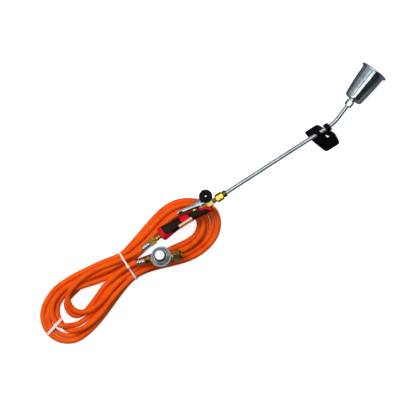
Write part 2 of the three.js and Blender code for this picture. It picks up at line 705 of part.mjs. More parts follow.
// Both layers of the hank, and over them at the pinch the two ends that leave it.
function makeHank() {
  const plan = outline(grow(smoothOutline(HANK_OUTER, 60), HOSE_D / 2));
  [LEFT_HOLE, RIGHT_HOLE].forEach((hole) => {
    plan.holes.push(new THREE.Path(outline(smoothOutline(hole, 20)).getPoints()));
  });
  const endsPlan = roundedOutline([[-291.5, -36], [-291.5, 8.5], [-380, 8.5], [-380, -36]], 4);
  const layers = slab(plan, HANK_BASE, HANK_TOP);
  const ends = slab(endsPlan, HANK_BASE + HOSE_D, ENDS_TOP);
  return cut(join(layers, ends), tieRoom(MIDDLE_TIE), tieRoom(END_TIE));
}

// The two ends of the hose, from their ferrules to the pinch of the hank, where they lie on its layers.
const TORCH_LEAD = [
  [-242.8, -4.4, 46], [-246.5, -4.6, 46], [-256, -4.9, 45.4], [-267, -4.2, 42.6], [-279, -2.2, 38.4],
  [-289, -0.4, 36],
];
const REGULATOR_LEAD = [
  [-272.6, -23.9, 38.95], [-276.2, -22.4, 38.5], [-282, -21, 37.4], [-289, -20.6, 36.3],
];

function makeLead(route) {
  const through = route.map((point) => new THREE.Vector3(...point));
  const path = new THREE.CatmullRomCurve3(through, false, "centripetal");
  const section = outline(arc(0, 0, HOSE_D / 2, 0, 324, 9));
  return new THREE.ExtrudeGeometry(section, { steps: route.length - 1, extrudePath: path });
}

// The ties: each is a band drawn as a ring in (Y, Z) round the strands that it holds, then put in place.
const TIE_THICK = 1.3;
const HANK_TOP = HANK_BASE + 2 * HOSE_D;
const ENDS_TOP = HANK_BASE + 3 * HOSE_D;
const SHOULDER = HANK_BASE + 1.5 * HOSE_D;
const MIDDLE_TIE = {
  inside: [
    [-54, HANK_BASE], [17, HANK_BASE], [17, SHOULDER], [10, ENDS_TOP], [-40, ENDS_TOP], [-54, SHOULDER],
  ],
  width: 4.2,
  turn: 0,
  place: [PINCH_X, 0],
};
const END_TIE = {
  inside: [[-26, HANK_BASE], [26, HANK_BASE], [26, HANK_TOP], [-26, HANK_TOP]],
  width: 6.4,
  turn: -75,
  place: [-527, -48],
};

function placeTie(geometry, { turn, place }) {
  return geometry.rotateZ(degrees(turn)).translate(...place, 0);
}

function makeBand({ inside, width }, clearance = 0) {
  const wall = roundedOutline(grow(inside, TIE_THICK + clearance), 5);
  wall.holes.push(new THREE.Path(roundedOutline(grow(inside, -clearance), 4).getPoints()));
  return layAlongX(slab(wall, -width / 2 - clearance, width / 2 + clearance));
}

const tieRoom = (tie) => placeTie(makeBand(tie, GAP), tie);

// The middle tie's catch sits on top of its band.
function makeMiddleTie() {
  const catchBlock = standUp(bevelledRod(ENDS_TOP + 0.4, ENDS_TOP + 4.6, 3.7, 0.8, 16));
  return placeTie(join(makeBand(MIDDLE_TIE), catchBlock.translate(0, -22.3, 0)), MIDDLE_TIE);
}

// ---------------------------------------------------------------- assembly
const model = new THREE.Group();
model.position.set(-TORCH_CENTRE[0], -TORCH_CENTRE[1], 0);

const torch = new THREE.Group();
torch.position.z = AXIS_HEIGHT;
model.add(torch);

const bellEnd = new LancePath(0, NECK_RUN, 1).getPoint(1);
const burner = new THREE.Group();
burner.position.copy(bellEnd);
burner.rotation.z = degrees(NECK_ANGLE);
torch.add(burner);

add(burner, "burner_bell", makeBell(), CHROME);
add(burner, "bell_nut", makeBellNut(), CHROME);
add(burner, "jet_holder", makeJetHolder(), BRASS);
add(burner, "gas_jet", makeGasJet(), BRASS);

add(torch, "lance_tube", makeLanceTube(), CHROME);
add(torch, "lance_collar", makeLanceCollar(), DARK_BRASS);
add(torch, "lance_nut", makeLanceNut(), BRASS);
add(torch, "stand", makeStand(), BLACK_PAINT);

add(torch, "valve_body", makeValveBody(), BRASS);
add(torch, "pilot_spindle", makePilotSpindle(), STEEL);
add(torch, "spindle_nut", makeSpindleNut(), BRASS);
add(torch, "pilot_knob", makePilotKnob(), BLACK_PLASTIC);
add(torch, "knob_screw", makeKnobScrew(), STEEL);
add(torch, "lever", makeLever(), CHROME);
add(torch, "lever_pin", makeLeverPin(), STEEL);
add(torch, "plunger", makePlunger(), STEEL);
add(torch, "plunger_nut", makePlungerNut(), BRASS);
add(torch, "lever_spring", makeLeverSpring(), STEEL);

add(torch, "handle_right_shell", makeShell(1), RED_PLASTIC);
add(torch, "handle_left_shell", makeShell(-1), RED_PLASTIC);
add(torch, "rear_grip", makeGrip(REAR_GRIP), BLACK_RUBBER);
add(torch, "front_grip", makeGrip(FRONT_GRIP), BLACK_RUBBER);
add(torch, "label_plate", makeLabel(), LABEL);
screwPlaces().forEach(([x, y], i) => add(torch, `handle_screw_${i + 1}`, makeHandleScrew(x, y), STEEL));
add(torch, "inlet_tube", makeInletTube(), BRASS);

const rearEnd = new THREE.Group();
rearEnd.position.set(HANDLE_STATIONS[0][0] - 0.8, PASSAGE_Y + 1, 0);
rearEnd.rotation.z = Math.PI + degrees(INLET_TILT);
torch.add(rearEnd);
add(rearEnd, "inlet_fitting", makeInletFitting(), BRASS);
add(rearEnd, "torch_hose_nut", makeHoseNut(15, 16.5), BRASS);
add(rearEnd, "torch_hose_tail", makeHoseTail(28.2, 48), BRASS);
add(rearEnd, "torch_hose_ferrule", ferrule(32.2, TORCH_HOSE_FROM, FERRULE_R, 4.4), STEEL);

const regulator = new THREE.Group();
regulator.position.set(...REGULATOR_CENTRE);
regulator.rotation.set(degrees(REGULATOR_LEAN), degrees(REGULATOR_PITCH), degrees(REGULATOR_TURN), "ZYX");
model.add(regulator);
add(regulator, "regulator_body", makeRegulatorBody(), ZINC);
add(regulator, "regulator_clamp_ring", makeClampRing(), ZINC);
add(regulator, "diaphragm", makeDiaphragm(), BLACK_RUBBER);
add(regulator, "diaphragm_plate", makeDiaphragmPlate(), STEEL);
add(regulator, "regulator_spring", makeRegulatorSpring(), STEEL);
add(regulator, "spring_cap", makeSpringCap(), STEEL);
add(regulator, "regulator_bonnet", makeBonnet(), ZINC);
add(regulator, "valve_lever", makeValveLever(), BRASS);
add(regulator, "valve_poppet", makePoppet(), BRASS);
add(regulator, "inlet_nipple", makeInletNipple(), BRASS);
add(regulator, "inlet_nut", makeInletNut(), BRASS);
add(regulator, "inlet_gasket", makeInletGasket(), BLACK_RUBBER);

const outlet = new THREE.Group();
outlet.rotation.z = Math.PI;
regulator.add(outlet);
add(outlet, "regulator_hose_nut", makeHoseNut(28, 14.5), BRASS);
add(outlet, "regulator_hose_tail", makeHoseTail(39.2, 58), BRASS);
add(outlet, "regulator_hose_ferrule", ferrule(43.2, REGULATOR_HOSE_FROM, FERRULE_R, 4.4), STEEL);

add(model, "hose_hank", makeHank(), ORANGE_RUBBER);
add(model, "torch_hose_lead", makeLead(TORCH_LEAD), ORANGE_RUBBER);
add(model, "regulator_hose_lead", makeLead(REGULATOR_LEAD), ORANGE_RUBBER);
add(model, "middle_tie", makeMiddleTie(), WHITE_NYLON);
add(model, "end_tie", placeTie(makeBand(END_TIE), END_TIE), WHITE_NYLON);

export default model;
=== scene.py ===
# A propane roofing torch with its folded hose and regulator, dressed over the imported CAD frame.
# Lengths are written in millimetres in the torch's own axes (lance along +X, lever towards +Y) and turned
# into the frame's metres when a piece is made.
import math

import bpy
import numpy as np
from mathutils import Matrix, Vector


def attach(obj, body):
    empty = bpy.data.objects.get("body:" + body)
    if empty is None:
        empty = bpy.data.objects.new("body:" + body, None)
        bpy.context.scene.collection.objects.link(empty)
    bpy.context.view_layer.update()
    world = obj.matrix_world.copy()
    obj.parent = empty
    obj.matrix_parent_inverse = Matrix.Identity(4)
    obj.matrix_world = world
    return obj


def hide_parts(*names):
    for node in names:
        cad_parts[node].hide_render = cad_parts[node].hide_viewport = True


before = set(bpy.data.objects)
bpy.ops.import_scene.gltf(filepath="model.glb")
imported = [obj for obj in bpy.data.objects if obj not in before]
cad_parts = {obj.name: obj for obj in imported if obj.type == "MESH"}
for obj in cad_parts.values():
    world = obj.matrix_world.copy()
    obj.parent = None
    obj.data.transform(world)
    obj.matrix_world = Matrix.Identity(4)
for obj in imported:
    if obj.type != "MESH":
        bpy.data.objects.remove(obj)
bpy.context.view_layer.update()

MM = 0.001
TORCH_CENTRE = (125.6, 18)  # the frame's origin in the torch's axes
AXIS_HEIGHT = 46  # the lance above the floor
TO_FRAME = Matrix.Scale(MM, 4) @ Matrix.Translation((-TORCH_CENTRE[0], -TORCH_CENTRE[1], 0))
TORCH = TO_FRAME @ Matrix.Translation((0, 0, AXIS_HEIGHT))


def turn(axis, degrees):
    return Matrix.Rotation(math.radians(degrees), 4, axis)


# ---------------------------------------------------------------- camera
VIEW_TURN = -32.8  # degrees about Z
VIEW_CENTRE = (-0.1893, 0.0014)
VIEW_WIDTH = 0.96
VIEW_HEIGHT = 4.0
SENSOR = 36

scene = bpy.context.scene
camera = bpy.data.objects.new("camera", bpy.data.cameras.new("camera"))
scene.collection.objects.link(camera)
camera.location = (*VIEW_CENTRE, VIEW_HEIGHT)
camera.rotation_euler = (0, 0, math.radians(VIEW_TURN))
camera.data.sensor_width = SENSOR
camera.data.lens = SENSOR * (VIEW_HEIGHT - AXIS_HEIGHT * MM) / VIEW_WIDTH
scene.camera = camera
scene.view_settings.view_transform = "Standard"


# ---------------------------------------------------------------- finishes
def srgb(*levels):
    """A linear colour from 0-255 display levels."""
    shares = [level / 255 for level in levels]
    return (*(s / 12.92 if s <= 0.04045 else ((s + 0.055) / 1.055) ** 2.4 for s in shares), 1)


class NodeKit:
    """Helpers that add nodes to a shader's tree."""

    def __init__(self, tree):
        self.nodes = tree.nodes
        self.links = tree.links

    def axes_of(self, vector):
        split = self.nodes.new("ShaderNodeSeparateXYZ")
        self.links.new(vector, split.inputs["Vector"])
        return split.outputs

    def ramp(self, value, stops):
        """The colours of (position, colour) stops, picked by a value."""
        ramp = self.nodes.new("ShaderNodeValToRGB")
        elements = ramp.color_ramp.elements
        elements[0].position, elements[0].color = stops[0]
        elements[1].position, elements[1].color = stops[-1]
        for position, colour in stops[1:-1]:
            elements.new(position).color = colour
        self.links.new(value, ramp.inputs["Fac"])
        return ramp.outputs["Color"]

    def spread(self, value, low, high, from_low=0.3, from_high=0.7):
        """A value that runs from from_low to from_high, drawn out to run from low to high."""
        spread = self.nodes.new("ShaderNodeMapRange")
        spread.inputs["From Min"].default_value = from_low
        spread.inputs["From Max"].default_value = from_high
        spread.inputs["To Min"].default_value = low
        spread.inputs["To Max"].default_value = high
        self.links.new(value, spread.inputs["Value"])
        return spread.outputs["Result"]

    def layer(self, mask, under, over):
        """One colour over another where the mask is high."""
        mix = self.nodes.new("ShaderNodeMix")
        mix.data_type = "RGBA"
        self.links.new(mask, mix.inputs["Factor"])
        for socket, colour in (("A", under), ("B", over)):
            if isinstance(colour, tuple):
                mix.inputs[socket].default_value = colour
            else:
                self.links.new(colour, mix.inputs[socket])
        return mix.outputs["Result"]

    def combine(self, operation, first, second):
        join = self.nodes.new("ShaderNodeMath")
        join.operation = operation
        self.links.new(first, join.inputs[0])
        self.links.new(second, join.inputs[1])
        return join.outputs[0]


class Finish(NodeKit):
    """A procedural material: a Principled shader with its textures, in the frame's metres."""

    def __init__(self, name, **sockets):
        self.name = name
        self.material = bpy.data.materials.new(name)
        self.material.use_nodes = True
        super().__init__(self.material.node_tree)
        self.shader = self.nodes["Principled BSDF"]
        for socket, value in sockets.items():
            self.shader.inputs[socket.replace("_", " ")].default_value = value
        self.place = self.nodes.new("ShaderNodeTexCoord").outputs["Object"]
        self.normal = None

    def placed(self, stretch, axis_turn, centre=(0, 0, 0)):
        """Places measured from a centre in units of stretch, along axes turned about Z."""
        mapping = self.nodes.new("ShaderNodeMapping")
        mapping.vector_type = "TEXTURE"
        mapping.inputs["Location"].default_value = centre
        mapping.inputs["Rotation"].default_value[2] = math.radians(axis_turn)
        mapping.inputs["Scale"].default_value = stretch
        self.links.new(self.place, mapping.inputs["Vector"])
        return mapping.outputs["Vector"]

    def grain(self, scale, detail=3, stretch=(1, 1, 1), axis_turn=0, distortion=0):
        """Noise of so many features a metre, stretched along an axis turned about Z."""
        place = self.placed(stretch, axis_turn)
        noise = self.nodes.new("ShaderNodeTexNoise")
        noise.inputs["Scale"].default_value = scale
        noise.inputs["Detail"].default_value = detail
        noise.inputs["Distortion"].default_value = distortion
        self.links.new(place, noise.inputs["Vector"])
        return noise.outputs["Fac"]

    def cells(self, scale):
        """Rounded pits, so many a metre."""
        cells = self.nodes.new("ShaderNodeTexVoronoi")
        cells.inputs["Scale"].default_value = scale
        self.links.new(self.place, cells.inputs["Vector"])
        return cells.outputs["Distance"]

    def worn(self, body, bare, share, start, end):
        """A body that wears to a bare colour along its outer edges, over a range of sharpness."""
        sharpness = self.nodes.new("ShaderNodeNewGeometry").outputs["Pointiness"]
        return self.layer(self.spread(sharpness, 0, share, start, end), body, bare)

    def colour(self, value):
        self.links.new(value, self.shader.inputs["Base Color"])

    def roughness(self, value):
        self.links.new(value, self.shader.inputs["Roughness"])

    def relief(self, height, depth_mm, strength=1.0):
        """Bumps of such a depth, on top of those already there."""
        bump = self.nodes.new("ShaderNodeBump")
        bump.inputs["Distance"].default_value = depth_mm * MM
        bump.inputs["Strength"].default_value = strength
        self.links.new(height, bump.inputs["Height"])
        if self.normal is not None:
            self.links.new(self.normal, bump.inputs["Normal"])
        self.normal = bump.outputs["Normal"]
        self.links.new(self.normal, self.shader.inputs["Normal"])


PLATE_TONES = (srgb(184, 200, 210), srgb(230, 240, 246))
# The lever's tones are a darker copy of the plate's: painted shade that dims the bright overhead mirrored by
# its flat side.
LEVER_SHADED_TONES = (srgb(128, 146, 158), srgb(206, 220, 230))


def chrome(name, axis_turn=0, lines_mm=None, reflection_mottle=0.0, tones=PLATE_TONES):
    """Bright plate with faint smudges over a slightly uneven sheet.
    lines_mm is the size of its fine lines each way, and reflection_mottle says how strong its grey patches
    are, painted in as a mottled reflection."""
    finish = Finish(name, Metallic=1.0)
    smudges = finish.grain(45, 5)
    plate = finish.ramp(smudges, [(0.3, tones[0]), (0.7, tones[1])])
    if reflection_mottle:
        # Grey patches painted into the plate's colour: a painted reflection of a mottled studio.
        patches = finish.grain(130, 5, distortion=0.8)
        painted_reflection = finish.spread(patches, 0, reflection_mottle, 0.48, 0.72)
        plate = finish.layer(painted_reflection, plate, srgb(116, 130, 140))
    finish.colour(plate)
    finish.roughness(finish.spread(smudges, 0.05, 0.13))
    if lines_mm:
        lines = finish.grain(1, 2, [length * MM for length in lines_mm], axis_turn)
        finish.relief(lines, 0.004, 0.5)
    finish.relief(finish.grain(38, 2), 0.25, 0.5)
    return finish


# The lever's arm: the middle of its side, its slope in the torch's plane, half its depth and its crown.
LEVER_MIDDLE = (-98, 17)
LEVER_SLOPE = -11.7
LEVER_HALF = 5.5
CROWN = 1.0


def crowned_chrome():
    """The lever's pressed sheet, whose side bulges along its length."""
    finish = chrome("pressed_chrome", reflection_mottle=0.5, tones=LEVER_SHADED_TONES)
    middle = (*(TO_FRAME @ Vector((*LEVER_MIDDLE, 0))).to_2d(), 0)
    across = finish.axes_of(finish.placed((1, LEVER_HALF * MM, 1), LEVER_SLOPE, middle))["Y"]
    finish.relief(finish.combine("MULTIPLY", across, across), -CROWN)
    return finish


def brass(name, light, dark, roughness=(0.16, 0.34)):
    """Turned brass with tarnish, dark specks, bright edges and fine tool marks."""
    finish = Finish(name, Metallic=1.0)
    tarnish = finish.grain(90, 6)
    body = finish.ramp(tarnish, [(0.32, dark), (0.62, light)])
    specks = finish.spread(finish.grain(900, 2), 0, 0.3, 0.64, 0.74)
    body = finish.layer(specks, body, srgb(84, 62, 24))
    finish.colour(finish.worn(body, srgb(246, 222, 140), 0.8, 0.52, 0.6))
    finish.roughness(finish.spread(tarnish, *roughness))
    finish.relief(finish.grain(1, 2, (0.0008, 0.03, 0.03)), 0.02, 0.5)
    finish.relief(finish.grain(260, 3), 0.03, 0.5)
    return finish


def machined(name, light, dark, roughness, grain_mm, metallic=1.0):
    """A plain white metal: machining grain, handling marks and bright edges."""
    finish = Finish(name, Metallic=metallic)
    marks = finish.grain(120, 6)
    body = finish.ramp(marks, [(0.3, dark), (0.65, light)])
    finish.colour(finish.worn(body, srgb(240, 243, 246), 0.7, 0.52, 0.6))
    finish.roughness(finish.spread(marks, *roughness))
    finish.relief(finish.grain(1 / (grain_mm * MM), 3), 0.04, 0.6)
    return finish


def black_paint():
    """Stove paint over sheet steel: orange peel, dust and wear along the cut edges."""
    finish = Finish("black_paint", Specular_IOR_Level=0.05)
    dust = finish.grain(70, 6)
    coat = finish.ramp(dust, [(0.35, srgb(4, 5, 9)), (0.75, srgb(17, 19, 26))])
    finish.colour(finish.worn(coat, srgb(70, 72, 80), 0.4, 0.58, 0.7))
    finish.roughness(finish.spread(dust, 0.3, 0.5))
    finish.relief(finish.grain(700, 2), 0.06, 0.6)
    return finish


def moulded(name, light, dark, roughness, grain_mm, depth_mm, edge, **sockets):
    """A moulded plastic or rubber with its texture, patchy gloss and paler edges."""
    finish = Finish(name, **sockets)
    tone = finish.grain(60, 5)
    body = finish.ramp(tone, [(0.3, dark), (0.7, light)])
    finish.colour(finish.worn(body, edge, 0.45, 0.54, 0.64))
    finish.roughness(finish.spread(tone, *roughness))
    finish.relief(finish.cells(1 / (grain_mm * MM)), depth_mm, 0.5)
    return finish


def hose_rubber():
    """Smooth extruded rubber with patchy gloss, pale scuffs and a slightly uneven skin."""
    finish = Finish("hose_rubber", Specular_IOR_Level=0.12)
    tone = finish.grain(28, 5)
    body = finish.ramp(tone, [(0.3, srgb(228, 76, 6)), (0.7, srgb(242, 96, 18))])
    scuffs = finish.spread(finish.grain(260, 5, distortion=1.0), 0, 0.35, 0.64, 0.78)
    finish.colour(finish.layer(scuffs, body, srgb(250, 150, 84)))
    finish.roughness(finish.spread(tone, 0.3, 0.46))
    finish.relief(finish.grain(1400, 2), 0.03, 0.5)
    finish.relief(finish.grain(70, 2), 0.2, 0.4)
    return finish


# Where the label's red border begins, and its red stripe: frame axis, place and the side the red lies on.
LABEL_BORDERS = [
    ("X", -140.1 - TORCH_CENTRE[0], -1), ("X", -103.9 - TORCH_CENTRE[0], 1),
    ("Y", -4 - TORCH_CENTRE[1], 1), ("Y", -12.9 - TORCH_CENTRE[1], -1),
]
LABEL_STRIPE = (-7.9 - TORCH_CENTRE[1], -10.9 - TORCH_CENTRE[1])
INK_EDGE = 0.25  # how far the ink fades out


def printed_label():
    """Blank cream print inside a red border, with a red stripe along its lower side."""
    finish = Finish("label", Coat_Weight=0.5, Coat_Roughness=0.12)
    fade = finish.grain(80, 5)
    paper = finish.ramp(fade, [(0.3, srgb(254, 234, 200)), (0.7, srgb(255, 244, 220))])
    ink = finish.ramp(fade, [(0.3, srgb(222, 36, 36)), (0.7, srgb(238, 58, 50))])
    axes = finish.axes_of(finish.place)

    def beyond(axis, edge_mm, side):
        """High on one side of an edge."""
        edge = edge_mm * MM
        wide = INK_EDGE * MM * side
        return finish.spread(axes[axis], 0, 1, edge - wide, edge + wide)

    stripe_top, stripe_bottom = LABEL_STRIPE
    red = finish.combine("MINIMUM", beyond("Y", stripe_top, -1), beyond("Y", stripe_bottom, 1))
    for border in LABEL_BORDERS:
        red = finish.combine("MAXIMUM", red, beyond(*border))
    finish.colour(finish.layer(red, paper, ink))
    finish.roughness(finish.spread(fade, 0.25, 0.4))
    finish.relief(finish.grain(500, 2), 0.02, 0.5)
    return finish


def nylon():
    """Pale tie plastic with fine ribs along it."""
    finish = Finish("tie_nylon", Subsurface_Weight=0.15, Subsurface_Scale=0.002)
    tone = finish.grain(150, 4)
    finish.colour(finish.ramp(tone, [(0.3, srgb(246, 222, 212)), (0.7, srgb(255, 240, 234))]))
    finish.roughness(finish.spread(tone, 0.3, 0.45))
    finish.relief(finish.grain(1, 1, (0.05, 0.0011, 0.0011)), 0.12, 0.6)
    return finish


NECK_ANGLE = 19.5  # the burner's, from the lance
FINISHES = {finish.name: finish for finish in (
    chrome("chrome", 0, (60, 0.5, 0.5)),
    chrome("burner_chrome", NECK_ANGLE, (0.7, 40, 40), 0.55),
    crowned_chrome(),
    brass("brass", srgb(242, 200, 92), srgb(196, 148, 50)),
    # A paler, smoother copy of brass for the union nut: its lower roughness is the metal's own, its paler
    # colour a painted highlight.
    brass("highlit_brass", srgb(255, 214, 96), srgb(222, 168, 52), (0.12, 0.26)),
    # A darker copy of brass for the valve body: painted shade, as it sits under the knob and its flat top
    # mirrors the bright overhead.
    brass("shaded_valve_brass", srgb(186, 140, 58), srgb(116, 84, 32), (0.3, 0.46)),
    brass("dark_brass", srgb(150, 118, 60), srgb(84, 62, 30), (0.3, 0.5)),
    machined("steel", srgb(200, 204, 208), srgb(150, 154, 160), (0.2, 0.36), 0.7),
    machined("ferrule_steel", srgb(226, 230, 234), srgb(168, 178, 186), (0.12, 0.26), 1),
    machined("zinc", srgb(148, 160, 168), srgb(108, 120, 128), (0.26, 0.42), 0.9),
    machined("rim_zinc", srgb(166, 182, 192), srgb(118, 134, 144), (0.24, 0.4), 0.9),
    machined("bonnet_zinc", srgb(226, 236, 242), srgb(186, 200, 208), (0.3, 0.45), 0.9),
    machined("cap_metal", srgb(250, 251, 252), srgb(232, 235, 238), (0.3, 0.45), 0.6, 0.2),
    black_paint(),
    moulded(
        "black_plastic", srgb(12, 14, 17), srgb(4, 5, 7), (0.3, 0.45), 0.7, 0.03, srgb(44, 46, 52),
        Specular_IOR_Level=0.08),
    moulded(
        "grip_rubber", srgb(40, 24, 16), srgb(18, 11, 8), (0.36, 0.5), 1.1, 0.1, srgb(60, 44, 36),
        Specular_IOR_Level=0.12),
    moulded(
        "red_plastic", srgb(222, 12, 42), srgb(196, 6, 32), (0.26, 0.38), 0.8, 0.02, srgb(236, 70, 84),
        Specular_IOR_Level=0.13),
    printed_label(),
    hose_rubber(),
    nylon(),
    moulded(
        "seal_rubber", srgb(30, 30, 31), srgb(16, 16, 17), (0.5, 0.7), 0.5, 0.05, srgb(60, 60, 60)),
)}


# ---------------------------------------------------------------- making pieces
def paint(piece, finish):
    """Gives a piece one finish in place of whatever it had."""
    piece.data.materials.clear()
    piece.data.materials.append(FINISHES[finish].material)


def hold(piece, finish, body, *nodes):
    """Gives a new piece its finish and its body, and lets it stand for CAD nodes."""
    paint(piece, finish)
    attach(piece, body)
    if nodes:
        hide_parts(*nodes)
    return piece


def soften_edges(piece, width_mm, angle=32):
    """Rounds the edges that are sharper than angle and evens the shading between them."""
    bevel = piece.modifiers.new("edges", "BEVEL")
    bevel.width = width_mm * MM
    bevel.segments = 2
    bevel.limit_method = "ANGLE"
    bevel.angle_limit = math.radians(angle)
    bevel.use_clamp_overlap = True
    bevel.miter_outer = "MITER_ARC"
    normals = piece.modifiers.new("normals", "WEIGHTED_NORMAL")
    normals.keep_sharp = False


def mesh_piece(name, vertices, faces, place, edge_mm=0.0):
    """A mesh object from points in millimetres in the axes of place."""
    mesh = bpy.data.meshes.new(name)
    mesh.from_pydata([tuple(v) for v in vertices], [], faces)
    mesh.transform(place)
    if place.determinant() < 0:
        mesh.flip_normals()
    mesh.shade_smooth()
    piece = bpy.data.objects.new(name, mesh)
    scene.collection.objects.link(piece)
    if edge_mm:
        soften_edges(piece, edge_mm)
    return piece


def runs_left(outline):
    """Whether an outline's inside lies to the left of the way it is drawn."""
    return sum(a[0] * b[1] - b[0] * a[1] for a, b in zip(outline, [*outline[1:], outline[0]])) > 0


def turned_mesh(profile, sides, shape=None):
    """Points and faces of a closed body about X from (along, radius) pairs.
    A profile that starts off the axis closes on itself. shape(along, radius, angle) changes the radius."""
    rings, vertices, faces = [], [], []
    for along, radius in profile:
        if radius == 0:
            rings.append([len(vertices)] * sides)
            vertices.append((along, 0, 0))
            continue
        rings.append(list(range(len(vertices), len(vertices) + sides)))
        for i in range(sides):
            angle = 2 * math.pi * i / sides
            r = shape(along, radius, angle) if shape else radius
            vertices.append((along, r * math.cos(angle), r * math.sin(angle)))
    if profile[0][1] > 0:
        rings.append(rings[0])
    for near, far in zip(rings, rings[1:]):
        for i in range(sides):
            j = (i + 1) % sides
            corners = [near[i], near[j], far[j], far[i]]
            face = list(dict.fromkeys(corners))
            if len(face) > 2:
                faces.append(face)
    if runs_left(profile):
        faces = [face[::-1] for face in faces]
    return vertices, faces


def turned(name, profile, place, sides=96, edge_mm=0.25, shape=None):
    """A turned piece about the X axis of place."""
    return mesh_piece(name, *turned_mesh(profile, sides, shape), place, edge_mm)


def arc(x, y, r, start, end, steps):
    """Points on a circle about (x, y), from one angle to another in degrees."""
    angles = [math.radians(start + (end - start) * i / steps) for i in range(steps + 1)]
    return [(x + r * math.cos(a), y + r * math.sin(a)) for a in angles]


HEX = math.pi / 3
CHAMFER_INSIDE = 0.2  # a nut's chamfer starts this far inside its flats
CHAMFER_OUTSIDE = 0.1  # and ends this far outside its corners


def hex_nut(name, flats, start, end, bore, place, chamfer=1.2, edge_mm=0.2):
    """A nut on X with flats towards Y, turned ends that meet the flats in arcs, and a stepped bore."""
    face = flats / 2 - CHAMFER_INSIDE
    corner = flats / math.sqrt(3) + CHAMFER_OUTSIDE
    steps = 6

    def shape(along, radius, angle):
        """Cuts the flats into the outside and leaves the bore round."""
        if radius < face:
            return radius
        from_flat = (angle + HEX / 2) % HEX - HEX / 2
        return min(radius, flats / 2 / math.cos(from_flat))

    def cone(i):
        return face + (corner - face) * i / steps

    outside = [
        *((start + chamfer * i / steps, cone(i)) for i in range(steps + 1)),
        *((end - chamfer * i / steps, cone(i)) for i in range(steps, -1, -1)),
    ]
    piece = turned(name, [*outside, *bore[::-1]], place, 96, 0, shape)
    soften_edges(piece, edge_mm, 24)
    return piece


def apply_modifiers(piece):
    """Makes what the modifiers show the piece's own mesh."""
    graph = bpy.context.evaluated_depsgraph_get()
    mesh = bpy.data.meshes.new_from_object(piece.evaluated_get(graph))
    piece.modifiers.clear()
    piece.data = mesh
    return piece


def carve(piece, tools, operation="DIFFERENCE"):
    """Cuts, joins or intersects a piece with tools, which are then removed."""
    for tool in tools:
        cut = piece.modifiers.new("cut", "BOOLEAN")
        cut.object = tool
        cut.operation = operation
        cut.solver = "EXACT"
    apply_modifiers(piece)
    for tool in tools:
        bpy.data.objects.remove(tool)
    return piece


def prism(points, low, high, place):
    """An outline in XY given a height from low to high."""
    count = len(points)
    vertices = [(x, y, low) for x, y in points] + [(x, y, high) for x, y in points]
    faces = [list(range(count))[::-1], list(range(count, 2 * count))]
    faces += [[i, (i + 1) % count, count + (i + 1) % count, count + i] for i in range(count)]
    if not runs_left(points):
        faces = [face[::-1] for face in faces]
    return mesh_piece("tool", vertices, faces, place)


def rod(start, end, r, place, sides=48):
    """A round tool along the X axis of place."""
    return turned("tool", [(start, 0), (start, r), (end, r), (end, 0)], place, sides, 0)


def keep_node(name, finish, edge_mm):
    """A CAD node whose shape is right: welded and bevelled by modifiers, in its detailed finish."""
    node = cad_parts[name]
    for attribute in ("custom_normal", "sharp_edge", "sharp_face"):
        if attribute in node.data.attributes:
            node.data.attributes.remove(node.data.attributes[attribute])
    node.data.shade_smooth()
    weld = node.modifiers.new("weld", "WELD")
    weld.merge_threshold = 0.01 * MM
    if edge_mm:
        soften_edges(node, edge_mm)
    paint(node, finish)


# ---------------------------------------------------------------- hose
HOSE_D = 13.3
HOSE_R = HOSE_D / 2
HANK_BASE = 1.6  # the hank lies on its ties
PINCH_X = -296
STEP = 7.5  # between points of the hose
PER_SPAN = 8  # points of a drawn line between two that it goes through

# Outermost and innermost lanes of each half of the hank, from the tie round and back to it.
OUTER_LEFT = [
    (-296, 9.5), (-341, 15.5), (-403, 25.5), (-452, 28), (-491, 20), (-522, 6), (-541, -13), (-548.5, -44),
    (-542, -74), (-522, -94.5), (-494, -104), (-450, -100.5), (-401, -84), (-353, -64.5), (-296, -47),
]
INNER_LEFT = [
    (-296, -18.8), (-341, -17), (-385, -9), (-425, -4), (-447, -1), (-459, -8), (-466, -20), (-468, -34),
    (-465, -48), (-455, -58), (-437, -57), (-412, -48), (-383, -39.5), (-347, -25), (-296, -20),
]
OUTER_RIGHT = [
    (-296, -47), (-255, -54), (-211, -66), (-165, -81), (-120, -86), (-80, -75), (-56, -55), (-46, -33),
    (-49, -11), (-72, 21), (-104, 43), (-138, 49.5), (-180, 42), (-222, 29), (-262, 17.5), (-296, 9.5),
]
INNER_RIGHT = [
    (-296, -20), (-262, -27), (-225, -38), (-185, -46.5), (-150, -51), (-122, -51), (-103, -42), (-90, -28),
    (-86, -12), (-94, 5), (-113, 14), (-140, 15), (-180, 7), (-220, -2), (-260, -10), (-296, -18.8),
]
# Where the strands of each half are steered, counted in spans of the lines above.
LEFT_KEYS = (1.6, 4, 7, 9.4, 11.6)
RIGHT_KEYS = (2.5, 5, 7, 9, 12.5)
FLOOR_LEVEL = (0, 0, 0, 0, 0)
TOP_LEVEL = (1, 1, 1, 1, 1)
